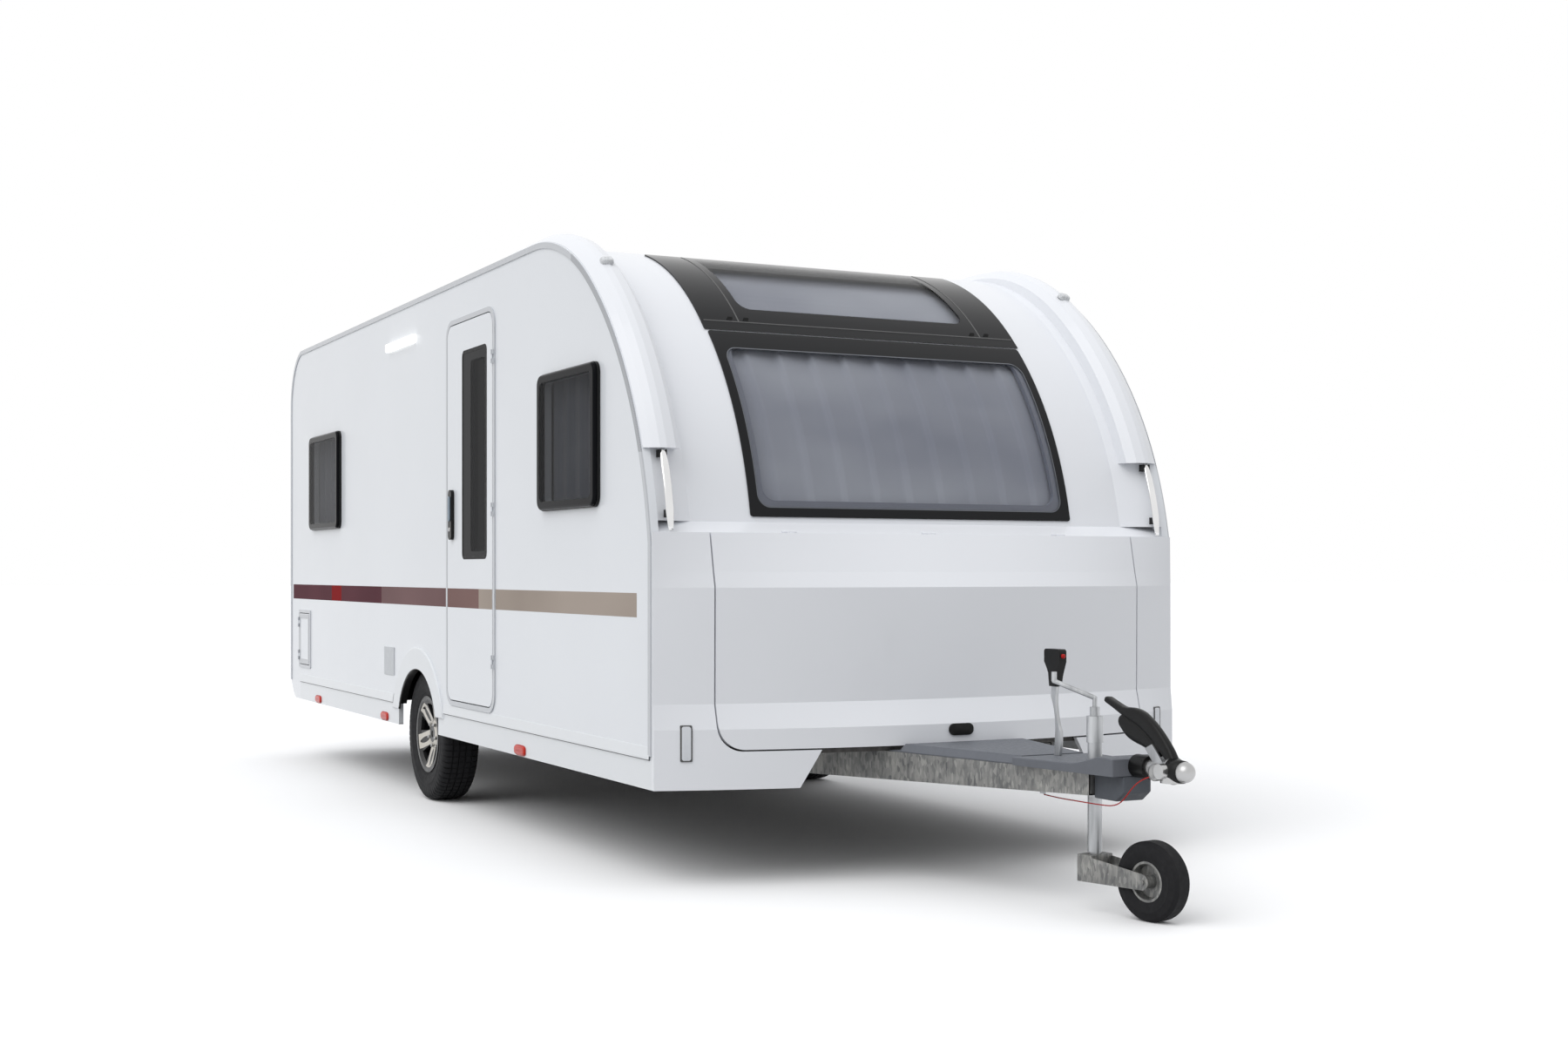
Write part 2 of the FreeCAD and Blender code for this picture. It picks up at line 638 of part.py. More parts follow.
def window_outline(window, inset):
    back, length = SIDE_WINDOWS[window]
    return rounded(
        f"nose + {back} + {inset}",
        f"window_base + {inset}",
        f"nose + {back} + {length} - {inset}",
        f"window_top - {inset}",
        f"(window_corner - {inset} * 0.6)",
    )


def door_outline(margin):
    return rounded(
        f"door_front - {margin}",
        f"door_base - {margin}",
        f"door_rear + {margin}",
        f"door_top + {margin}",
        f"(door_corner + {margin})",
    )


def service_outline(inset):
    return rounded(
        f"nose + service_back + {inset}",
        f"service_base + {inset}",
        f"nose + service_back + service_length - {inset}",
        f"service_base + service_height - {inset}",
        "12",
    )


def blank_wall(side):
    body = new_body(f"blank_{side_name(side)}")
    extrude(body, "side", "slab_" + side_name(side), x_at(side, "inner"), x_at(side, "half"),
            wall_outline())
    return body


def make_side_wall(side):
    body = blank_wall(side)
    name = side_name(side)
    levels = (x_at(side, "inner"), x_at(side, "half"))
    pocket(body, "side", f"{name}_arch", *levels, ring("axle_y", "arch_centre", "arch_radius"))
    for window in SIDE_WINDOWS:
        pocket(body, "side", f"{name}_{window}_opening", *levels,
               window_outline(window, "window_frame"))
    if side == DOOR_SIDE:
        pocket(body, "side", "doorway", *levels, door_outline("gap"))
        pocket(body, "side", "service_hole", *levels, service_outline("service_trim * 0.5"))
    return keep(body, f"side_wall_{name}")


def make_side_windows():
    frames, panes = [], []
    for side in BOTH_SIDES:
        for window in SIDE_WINDOWS:
            name = f"{side_name(side)}_{window}"
            frame = new_body(f"{name}_frame")
            levels = (x_at(side, "half"), x_at(side, "half + window_proud * 0.45"))
            extrude(frame, "side", f"{name}_border", *levels, window_outline(window, "0"))
            pocket(frame, "side", f"{name}_light", *levels, window_outline(window, "window_frame"))
            frames.append(frame)
            pane = new_body(f"{name}_pane")
            levels = (x_at(side, "half + window_proud * 0.45"), x_at(side, "half + window_proud"))
            extrude(pane, "side", f"{name}_acrylic", *levels, window_outline(window, "seat * 10"))
            soften(pane, f"{name}_dome", "window_proud * 0.4")
            panes.append(pane)
    keep(together("window_frames", frames), "side_window_frames")
    keep(together("window_panes", panes), "side_window_panes")


def make_roof():
    body = new_body("roof_panel")
    levels = ("roof_height - wall", "roof_height")
    extrude(body, "plan", "roof_slab", *levels,
            rectangle("-inner", "nose + brow_back", "inner", "tail - tail_inset"))
    hatches = []
    for name, back, length, width in HATCHES:
        outline = rounded(f"-{width} / 2", f"nose + {back}", f"{width} / 2",
                          f"nose + {back} + {length}", "30")
        pocket(body, "plan", f"{name}_hole", *levels, outline)
        hatch = new_body(name)
        rim = rounded(f"-{width} / 2 - hatch_rim", f"nose + {back} - hatch_rim",
                      f"{width} / 2 + hatch_rim", f"nose + {back} + {length} + hatch_rim", "45")
        extrude(hatch, "plan", f"{name}_dome", "roof_height", "roof_height + hatch_rise", rim)
        soften(hatch, f"{name}_edge", "hatch_rise * 0.5", Vector(0, 0, 1))
        hatches.append(hatch)
    keep(body, "roof")
    keep(together("hatch_pair", hatches), "roof_hatches")


HATCHES = [
    ("large_hatch", "large_hatch_back", "large_hatch_length", "large_hatch_width"),
    ("small_hatch", "small_hatch_back", "small_hatch_size", "small_hatch_size"),
]


def make_rear_wall():
    body = new_body("rear_panel")
    outline = [
        ("tail - wall", "wall_base"),
        ("tail", "wall_base"),
        ("tail", "tail_foot", "tail_radius"),
        ("tail - tail_inset", "roof_height"),
        ("tail - tail_inset", "roof_height - wall", "-(tail_radius - wall)"),
        ("tail - wall", "tail_foot"),
    ]
    extrude(body, "side", "rear_slab", "-inner", "inner", outline)
    for side in BOTH_SIDES:
        pocket(body, "front", f"lamp_recess_{side_name(side)}", "tail - lamp_depth", "tail",
               lamp_outline(side))
    return keep(body, "rear_wall")


def lamp_outline(side):
    low, high = sorted((x_at(side, "half - lamp_out - lamp_width"),
                        x_at(side, "half - lamp_out")), key=number)
    return rectangle(low, "lamp_base", high, "lamp_base + lamp_height")


def make_rear_lamps():
    lamps = []
    for side in BOTH_SIDES:
        lamp = new_body(f"lamp_{side_name(side)}")
        extrude(lamp, "front", f"lens_{side_name(side)}", "tail - lamp_depth", "tail",
                lamp_outline(side))
        lamps.append(lamp)
    keep(together("rear_lamp_pair", lamps), "rear_lamps")


def panel_section(proud, thick):
    """One strip of the front panel's surface: its outer side at proud, its inner side behind."""
    deep = f"({proud} - ({thick}))"
    return [
        ("nose + brow_back", f"roof_height + {proud}", f"(panel_high_radius + {proud})"),
        (f"nose + panel_mid_back - sin(panel_mid_tilt) * {proud}",
         f"panel_mid_high + cos(panel_mid_tilt) * {proud}", f"(panel_low_radius + {proud})"),
        (f"nose + panel_foot_back - {proud}", "panel_ledge"),
        (f"nose + panel_foot_back - {deep}", "panel_ledge", f"-(panel_low_radius + {deep})"),
        (f"nose + panel_mid_back - sin(panel_mid_tilt) * {deep}",
         f"panel_mid_high + cos(panel_mid_tilt) * {deep}", f"-(panel_high_radius + {deep})"),
        ("nose + brow_back", f"roof_height + {deep}"),
    ]


def side_section():
    """The front panel's edge strip, which follows the side wall's own edge."""
    foot = "(brow_low_radius * cos(brow_lean) - sqrt(brow_low_radius ^ 2 - " \
           "(panel_ledge - brow_foot + brow_low_radius * sin(brow_lean)) ^ 2))"
    return [
        ("nose + brow_back", "roof_height", "brow_high_radius"),
        ("nose + brow_mid_back", "brow_mid_high", "brow_low_radius"),
        (f"nose + {foot}", "panel_ledge"),
        (f"nose + {foot} + moulding", "panel_ledge", "-(brow_low_radius - moulding)"),
        ("nose + brow_mid_back + sin(brow_mid_tilt) * moulding",
         "brow_mid_high - cos(brow_mid_tilt) * moulding", "-(brow_high_radius - moulding)"),
        ("nose + brow_back", "roof_height - moulding"),
    ]


def panel_strip(name, proud, thick):
    body = new_body(name)
    extrude(body, "side", name + "_skin", "-panel_width / 2", "panel_width / 2",
            panel_section(proud, thick))
    return body


def front_prism(name, outline):
    body = new_body(name)
    extrude(body, "front", name + "_prism", "nose - nose_bow_foot * 2", "nose + brow_back",
            outline)
    return body


def window_prism(name, inset):
    return front_prism(name, rounded(
        f"-front_window_width / 2 + {inset}", f"front_window_base + {inset}",
        f"front_window_width / 2 - {inset}", f"front_window_top - {inset}",
        f"(12 + {inset} * 0.6)"))


def sky_prism(name, inset):
    body = new_body(name)
    extrude(body, "plan", name + "_prism", f"front_window_top + {inset} + 6",
            "roof_height * 1.1",
            rounded(f"-sky_window_width / 2 + {inset} * 2", f"nose + panel_foot_back + {inset}",
                    f"sky_window_width / 2 - {inset} * 2", f"nose + sky_window_back - {inset}",
                    "12"))
    return body


def make_front_panel():
    skin = panel_strip("panel_centre", "0", "moulding")
    pieces = [skin]
    for side in BOTH_SIDES:
        name = side_name(side)
        scoop = new_body(f"scoop_{name}")
        loft(scoop, "side", f"scoop_{name}_skin", [
            (x_at(side, "panel_width / 2"), panel_section("0", "moulding")),
            (x_at(side, "inner"), side_section()),
        ])
        pieces.append(scoop)
        ear = new_body(f"ear_{name}")
        loft(ear, "side", f"ear_{name}_strip",
             [(x_at(side, f"half - {across}"), fairing_outline(f"({share} * fairing_rise)"))
              for across, share in FAIRING_LEVELS])
        pieces.append(cut(f"fairing_{name}", ear, blank_wall(side)))
    ledge = new_body("ledge")
    extrude(ledge, "side", "ledge_strip", "-inner", "inner", [
        ("nose + lid_shut_gap", "nose_top"),
        ("nose + lid_shut_gap", "nose_top - moulding"),
        ("nose + panel_foot_back + moulding", "nose_top - moulding"),
        ("nose + panel_foot_back + moulding", "panel_ledge + 8"),
        ("nose + panel_foot_back + 0.5 * moulding", "panel_ledge + 8"),
        ("nose + panel_foot_back", "panel_ledge"),
    ])
    pieces.append(ledge)
    for name, spot in lid_hinges():
        pieces += hinge_half(f"ledge_{name}", "fixed", "x", spot,
                             ("0", "nose + lid_shut_gap / 2", "nose_top"),
                             ("0", "nose + hinge_leaf * 6", "nose_top + hinge_leaf"))
    whole = fuse("front_moulding", pieces)
    holes = fuse("front_lights", [
        window_prism("front_light", "front_window_border"),
        sky_prism("sky_light", "sky_window_border"),
    ])
    return keep(cut("front_moulding_cut", whole, holes), "front_panel")


def lid_hinges():
    """Names and pins of the locker lid's hinges, in the gap behind its top edge."""
    places = {"hinge_right": "-lid_hinge_spread", "hinge_middle": "0",
              "hinge_left": "lid_hinge_spread"}
    return [(name, (across, "nose + lid_shut_gap / 2", "nose_top + hinge_radius"))
            for name, across in places.items()]


# Distance from the side wall's face, and share of the fairing's height there
FAIRING_LEVELS = [
    ("4", "0.1"),
    ("fairing_in * 0.2", "0.55"),
    ("fairing_in * 0.38", "0.9"),
    ("fairing_in * 0.55", "1"),
    ("fairing_in * 0.8", "0.8"),
    ("fairing_in", "0.1"),
]


def fairing_outline(rise):
    """The fairing seen from the side: its outer edge, then its buried edge."""
    return [
        ("nose + fairing_back", "roof_height"),
        ("nose + fairing_back", f"roof_height + {rise} * 0.2",
         f"((fairing_end ^ 2 + (0.8 * {rise}) ^ 2) / (1.6 * {rise}))"),
        ("nose + fairing_back - fairing_end", f"roof_height + {rise}"),
        ("nose + brow_back", f"roof_height + {rise}", f"(brow_high_radius + {rise})"),
        (f"nose + brow_mid_back - sin(brow_mid_tilt) * {rise}",
         f"brow_mid_high + cos(brow_mid_tilt) * {rise}", f"(brow_low_radius + {rise})"),
        (f"nose + fairing_foot_back - {rise}", "fairing_foot"),
        ("nose + fairing_foot_back + fairing_depth", "fairing_foot",
         "-(brow_low_radius - fairing_depth)"),
        ("nose + brow_mid_back + sin(brow_mid_tilt) * fairing_depth",
         "brow_mid_high - cos(brow_mid_tilt) * fairing_depth",
         "-(brow_high_radius - fairing_depth)"),
        ("nose + brow_back", "roof_height - fairing_depth * 0.5"),
        ("nose + brow_back", "roof_height"),
    ]


def make_front_windows():
    glazing = panel_strip("front_glazing", "pane + seat", "pane")
    keep(common("front_pane", glazing, window_prism("front_border", "0")), "front_window")
    keep(common("sky_pane", glazing, sky_prism("sky_border", "0")), "sky_window")


NOSE_LEVELS = [
    ("skirt_base", "nose_bow_foot", "nose_side_foot"),
    ("shelf_low", "nose_bow_foot", "nose_side_foot"),
    ("shelf_high", "nose_bow_shelf", "nose_side_top + 4"),
    ("crease_mid", "nose_bow_mid", "nose_side_top + 3"),
    ("crease_high", "nose_bow_crease", "nose_side_top + 2"),
    ("nose_top", "nose_bow_top", "nose_side_top"),
]


def nose_outline(bow, side_out, shell):
    """The nose seen from above: an arc from wall to wall, closed behind. Shell moves it in."""
    reach = f"(half - {shell})"
    swell = f"({bow} - ({side_out}))"
    return [
        (f"-{reach}", f"nose + {shell} * 2"),
        (f"-{reach}", f"nose - ({side_out}) + {shell}",
         f"(({reach} * {reach} + {swell} * {swell}) / (2 * {swell}))"),
        (reach, f"nose - ({side_out}) + {shell}"),
        (reach, f"nose + {shell} * 2"),
    ]


def make_nose():
    outer = new_body("nose_block")
    loft(outer, "plan", "nose_outside",
         [(level, nose_outline(bow, out, "0")) for level, bow, out in NOSE_LEVELS])
    core = new_body("nose_core")
    inner_levels = []
    for level, bow, out in NOSE_LEVELS:
        drop = {"skirt_base": " - moulding", "nose_top": " - moulding"}.get(level, "")
        inner_levels.append((level + drop, nose_outline(bow, out, "moulding")))
    loft(core, "plan", "nose_inside", inner_levels)
    shell = cut("nose_shell", outer, core)
    lid = front_prism("lid_shape", lid_outline("0"))
    pieces = [common("lid_shell", shell, lid)]
    for name, spot in lid_hinges():
        pieces += hinge_half(f"lid_{name}", "moving", "x", spot,
                             ("0", "nose - hinge_leaf * 6", "nose_top"),
                             ("0", "nose + lid_shut_gap / 2", "nose_top + hinge_leaf"))
    keep(fuse("lid_whole", pieces), "front_lid")
    opening = front_prism("lid_opening", lid_outline("lid_shut_gap"))
    notch = front_prism("drawbar_notch", [
        ("-apron_notch_foot / 2", "skirt_base - moulding"),
        ("apron_notch_foot / 2", "skirt_base - moulding"),
        ("apron_notch / 2", "lid_base"),
        ("-apron_notch / 2", "lid_base"),
    ])
    keep(cut("apron_shell", shell, fuse("apron_openings", [opening, notch])), "front_apron")


def nose_slab(name, outline, proud):
    """A piece of that outline, as thick as proud, lying on the nose's outside."""
    layers = []
    for layer, out in (("outside", proud), ("inside", "0")):
        shell = new_body(f"{name}_{layer}")
        loft(shell, "plan", f"{name}_{layer}_loft",
             [(level, nose_outline(f"({bow} + {out})", f"({side_out} + {out})", "0"))
              for level, bow, side_out in NOSE_LEVELS])
        layers.append(shell)
    return common(f"{name}_slab", cut(f"{name}_layer", *layers),
                  front_prism(f"{name}_shape", outline))


def make_nose_fittings():
    middle = "(shelf_low - lock_height / 2)"
    keep(nose_slab("lock", rounded("-lock_width / 2", f"{middle} - lock_height / 2",
                                   "lock_width / 2", f"{middle} + lock_height / 2",
                                   "(lock_height / 2 - 1)"), "lock_proud"), "lid_lock")
    reflectors = []
    for side in BOTH_SIDES:
        name = side_name(side)
        low, high = sorted((x_at(side, "half - reflector_out - reflector_width / 2"),
                            x_at(side, "half - reflector_out + reflector_width / 2")),
                           key=number)
        outline = rounded(low, "reflector_base", high, "reflector_base + reflector_height", "4")
        reflectors.append(nose_slab(f"reflector_{name}", outline, "marker_proud"))
    keep(together("reflector_pair", reflectors), "front_reflectors")


def lid_outline(margin):
    edge = f"(lid_width / 2 + {margin})"
    return [
        (f"-{edge}", "nose_top + moulding"),
        (f"-{edge}", f"lid_base + lid_corner - {margin}", "lid_corner"),
        (f"-{edge} + lid_corner", f"lid_base - {margin}"),
        (f"{edge} - lid_corner", f"lid_base - {margin}", "lid_corner"),
        (edge, f"lid_base + lid_corner - {margin}"),
        (edge, "nose_top + moulding"),
    ]


def make_floor():
    body = new_body("floor_panel")
    swell = "(nose_bow_foot - moulding * 2)"
    front = f"((inner * inner + {swell} * {swell}) / (2 * {swell}))"
    extrude(body, "plan", "floor_slab", "floor_base", "floor_top", [
        ("-inner", "nose", front),
        ("inner", "nose"),
        ("inner", "tail - wall"),
        ("-inner", "tail - wall"),
    ])
    for side in BOTH_SIDES:
        pocket(body, "plan", f"wheel_space_{side_name(side)}", "floor_base", "floor_top",
               wheel_box_plan(side, "0"))
    return keep(body, "floor")


def wheel_box_plan(side, inset):
    low, high = sorted(
        (x_at(side, "inner"), x_at(side, f"inner - wheel_box_width + {inset}")), key=number)
    return rectangle(low, f"axle_y - wheel_box_length / 2 + {inset}",
                     high, f"axle_y + wheel_box_length / 2 - {inset}")


def make_wheel_boxes():
    boxes = []
    for side in BOTH_SIDES:
        name = side_name(side)
        box = new_body(f"box_{name}")
        extrude(box, "plan", f"box_{name}_outside", "floor_base", "wheel_box_top",
                wheel_box_plan(side, "0"))
        pocket(box, "plan", f"box_{name}_inside", "floor_base", "wheel_box_top - wheel_box_skin",
               wheel_box_plan(side, "wheel_box_skin"))
        boxes.append(box)
    keep(together("box_pair", boxes), "wheel_boxes")


def make_arch_trims():
    trims = []
    for side in BOTH_SIDES:
        name = side_name(side)
        trim = new_body(f"trim_{name}")
        levels = (x_at(side, "half"), x_at(side, "half + arch_proud"))
        extrude(trim, "side", f"trim_{name}_disc", *levels,
                ring("axle_y", "arch_centre", "arch_radius + arch_trim"))
        pocket(trim, "side", f"trim_{name}_hole", *levels,
               ring("axle_y", "arch_centre", "arch_radius"))
        pocket(trim, "side", f"trim_{name}_foot", *levels, rectangle(
            "axle_y - arch_radius * 2", "arch_centre - arch_radius * 2",
            "axle_y + arch_radius * 2", "wall_base - arch_trim * 0.25"))
        soften(trim, f"trim_{name}_edge", "arch_proud * 0.7")
        trims.append(trim)
    keep(together("trim_pair", trims), "wheel_arch_trims")


def make_skirts():
    sills = []
    for side in BOTH_SIDES:
        levels = (x_at(side, "half - skirt_thick"), x_at(side, "half"))
        stretches = {
            "front": ("nose", "axle_y - arch_radius"),
            "rear": ("axle_y + arch_radius", "tail - bumper_wrap"),
        }
        for name, (start, end) in stretches.items():
            label = f"sill_{side_name(side)}_{name}"
            sill = new_body(label)
            extrude(sill, "side", label + "_strip", *levels,
                    rectangle(start, "skirt_base", end, "wall_base"))
            sills.append(sill)
    keep(together("sill_set", sills), "skirts")


def make_bumper():
    body = new_body("bumper")
    extrude(body, "side", "bumper_strip", "-half", "half", [
        ("tail - bumper_wrap", "skirt_base"),
        ("tail - bumper_wrap * 0.5", "skirt_base", "bumper_wrap"),
        ("tail - seat", "wall_base - seat"),
        ("tail - bumper_wrap", "wall_base - seat"),
    ])
    return keep(body, "rear_bumper")


def make_locker_wall():
    body = new_body("locker_wall")
    extrude(body, "side", "locker_back", "-inner", "inner", [
        ("nose + locker_depth", "floor_top"),
        ("nose + locker_depth + moulding", "floor_top"),
        ("nose + locker_depth + moulding", "nose_top - moulding"),
        ("nose + panel_foot_back", "nose_top - moulding"),
        ("nose + panel_foot_back", "nose_top - moulding * 2"),
        ("nose + locker_depth", "nose_top - moulding * 2"),
    ])
    return keep(body, "locker_bulkhead")


def make_door():
    leaf = new_body("door_leaf")
    levels = ("-half - door_proud", "-inner")
    extrude(leaf, "side", "leaf_slab", *levels, door_outline("0"))
    pocket(leaf, "side", "leaf_light", *levels, door_pane_outline("0"))
    heights = {"low": "door_base + hinge_inset", "high": "door_top - hinge_inset",
               "middle": "(door_base + door_top) / 2"}
    moving, fixed = [leaf], []
    for name, up in heights.items():
        spot = ("-half - door_proud - hinge_radius", "door_front - gap", up)
        moving += hinge_half(f"leaf_hinge_{name}", "moving", "z", spot,
                             ("-half - door_proud - hinge_leaf", "door_front - gap", "0"),
                             ("-half - door_proud", "door_front + gap * 4", "0"))
        fixed += hinge_half(f"frame_hinge_{name}", "fixed", "z", spot,
                            ("-half - door_proud - hinge_leaf", "door_front - gap * 5", "0"),
                            ("-half - door_proud", "door_front - gap", "0"))
    keep(fuse("door_whole", moving), "entrance_door")
    pane = new_body("door_pane")
    extrude(pane, "side", "door_acrylic", "-half - door_proud", "-half + wall * 0.4",
            door_pane_outline("seat"))
    keep(pane, "door_window")
    handle = new_body("handle")
    extrude(handle, "side", "handle_grip", "-half - door_proud - 16", "-half - door_proud",
            rounded("door_rear - 106", "handle_base", "door_rear - 56",
                    "handle_base + handle_length", "22"))
    keep(handle, "door_handle")
    trim = new_body("door_trim_ring")
    levels = ("-half - door_proud", "-half")
    extrude(trim, "side", "trim_outside", *levels, door_outline("(gap + door_trim)"))
    pocket(trim, "side", "trim_inside", *levels, door_outline("gap"))
    keep(fuse("door_frame_whole", [trim] + fixed), "door_frame")


def door_pane_outline(inset):
    return rounded(
        f"door_front + door_pane_in + {inset}",
        f"door_pane_base + {inset}",
        f"door_front + door_pane_in + door_pane_width - {inset}",
        f"door_pane_top - {inset}",
        "18",
    )


def make_service_door():
    frame = new_body("service_ring")
    levels = ("-half - door_proud", "-half")
    extrude(frame, "side", "service_outside", *levels, service_outline("0"))
    pocket(frame, "side", "service_inside", *levels, service_outline("service_trim"))
    leaf = new_body("service_leaf")
    extrude(leaf, "side", "service_slab", "-half - door_proud", "-inner",
            service_outline("(service_trim + gap)"))
    jamb = "nose + service_back + service_length - service_trim"
    heights = {"low": "service_base + service_hinge_inset",
               "high": "service_base + service_height - service_hinge_inset"}
    moving, fixed = [leaf], [frame]
    for name, up in heights.items():
        spot = ("-half - door_proud - hinge_radius", jamb, up)
        moving += hinge_half(f"service_hinge_{name}", "moving", "z", spot,
                             ("-half - door_proud - hinge_leaf", f"{jamb} - gap * 5", "0"),
                             ("-half - door_proud", jamb, "0"))
        fixed += hinge_half(f"jamb_hinge_{name}", "fixed", "z", spot,
                            ("-half - door_proud - hinge_leaf", jamb, "0"),
                            ("-half - door_proud", f"{jamb} + gap * 3", "0"))
    keep(fuse("service_leaf_whole", moving), "service_door")
    keep(fuse("service_frame_whole", fixed), "service_door_frame")


def wheel_turn(side):
    return FreeCAD.Rotation(Vector(0, 0, 1), 0 if side == FAR_SIDE else 180)


def half_profile(points):
    """Mirrors a list of (along, radius) corners, given from the middle out, to both ends."""
    left = [(f"-({corner[0]})",) + tuple(corner[1:2]) for corner in reversed(points)]
    return left + list(points)


def make_road_wheel(side):
    name = side_name(side)
    seat_width = "(tyre_width / 2 - 15)"
    tyre = new_body(f"tyre_{name}_body")
    shoulder = [
        ("tyre_width * 0.38", "tyre_radius"),
        ("tyre_width * 0.45", "tyre_radius - 15"),
        ("tyre_width * 0.5", "tyre_radius * 0.78"),
        ("tyre_width * 0.475", "rim_radius + 16"),
        (f"{seat_width}", "rim_radius + seat"),
        (f"{seat_width}", "rim_bead + seat"),
    ]
    turn(tyre, f"tyre_{name}_section", half_profile(shoulder))
    keep(place(tyre, x_at(side, "wheel_mid"), "axle_y", "tyre_radius", wheel_turn(side)),
         f"tyre_{name}")
    rim = new_body(f"rim_{name}_body")
    lip = f"({seat_width} + seat)"
    turn(rim, f"rim_{name}_section", [
        (f"-{lip} - 6", "rim_bead - 12"),
        (f"{lip} - 20", "rim_bead - 14"),
        ("rim_face - 14", "rim_bead - 40"),
        ("rim_face - 30", "70"),
        ("rim_face - 60", "60"),
        ("rim_face - 60", "hub_pin_radius + seat"),
        ("rim_face - 6", "hub_pin_radius + seat"),
        ("rim_face - 6", "40"),
        ("rim_face - 14", "70"),
        ("rim_face + 6", "rim_bead - 30"),
        (f"{lip} + 6", "rim_bead - 8"),
        (f"{lip} + 6", "rim_radius"),
        (lip, "rim_radius"),
        (lip, "rim_bead"),
        (f"-{lip}", "rim_bead"),
        (f"-{lip}", "rim_radius"),
        (f"-{lip} - 6", "rim_radius"),
    ])
    first = pocket(rim, "side", f"rim_{name}_window", "rim_face - 70", "rim_face + 40", [
        ("-9", "72"),
        ("9", "72"),
        ("40", "rim_bead - 32", "rim_bead"),
        ("-40", "rim_bead - 32"),
    ])
    pattern = rim.newObject("PartDesign::PolarPattern", f"rim_{name}_windows")
    pattern.Originals = [first]
    pattern.Axis = (next(item for item in rim.Origin.OriginFeatures if item.Role == "X_Axis"), [""])
    pattern.Angle = 360
    pattern.Occurrences = 5
    rim.Tip = pattern
    drum = new_body(f"drum_{name}_body")
    turn(drum, f"drum_{name}_section", [
        ("-drum_back", "hub_pin_radius + seat"),
        ("rim_face - 60", "hub_pin_radius + seat"),
        ("rim_face - 60", "60"),
        ("rim_face - 70", "drum_radius"),
        ("-drum_back", "drum_radius"),
    ])
    wheel = fuse(f"wheel_{name}_metal", [rim, drum])
    keep(place(wheel, x_at(side, "wheel_mid"), "axle_y", "tyre_radius", wheel_turn(side)),
         f"rim_{name}")


def make_axle():
    tube_y = "(axle_y - arm_lead)"
    tube_z = "(floor_base - rail_height - axle_tube_size / 2)"
    pieces = [block("axle_tube", ("-arm_inside", f"{tube_y} - axle_tube_size / 2",
                                  f"{tube_z} - axle_tube_size / 2"),
                    ("arm_inside", f"{tube_y} + axle_tube_size / 2",
                     f"{tube_z} + axle_tube_size / 2"))]
    for side in BOTH_SIDES:
        name = side_name(side)
        arm = new_body(f"arm_{name}")
        extrude(arm, "side", f"arm_{name}_plate", x_at(side, "arm_inside"),
                x_at(side, "arm_inside + arm_thick"), [
                    (f"{tube_y} - 40", f"{tube_z} - 40"),
                    ("axle_y", "tyre_radius - 34"),
                    ("axle_y + 30", "tyre_radius"),
                    ("axle_y", "tyre_radius + 34"),
                    (f"{tube_y} - 40", f"{tube_z} + 40"),
                ])
        pieces.append(arm)
        plate_start = "wheel_mid - drum_back - gap - plate_thick"
        for piece, start, radius, length in (
            ("plate", plate_start, "drum_radius - 4", "plate_thick"),
            ("carrier", "arm_inside", "30", f"{plate_start} - arm_inside + 1"),
            ("stub", plate_start, "hub_pin_radius", f"wheel_mid + rim_face - 12 - ({plate_start})"),
        ):
            foot = start if side == FAR_SIDE else f"-({start}) - ({length})"
            pieces.append(rod(f"{piece}_{name}", "x", (foot, "axle_y", "tyre_radius"),
                              radius, length))
    keep(fuse("axle_whole", pieces), "axle")


def rail_outline():
    """Half of the frame seen from above: a rail that bends in towards the coupling."""
    return [
        ("rail_front_spread / 2", "nose - rail_front_reach"),
        ("rail_spread / 2", "nose + rail_bend_back"),
        ("rail_spread / 2", "nose + rail_end_back"),
        ("rail_spread / 2 - rail_width", "nose + rail_end_back"),
        ("rail_spread / 2 - rail_width", "nose + rail_bend_back"),
        ("rail_front_spread / 2 - rail_width * 0.85", "nose - rail_front_reach"),
    ]


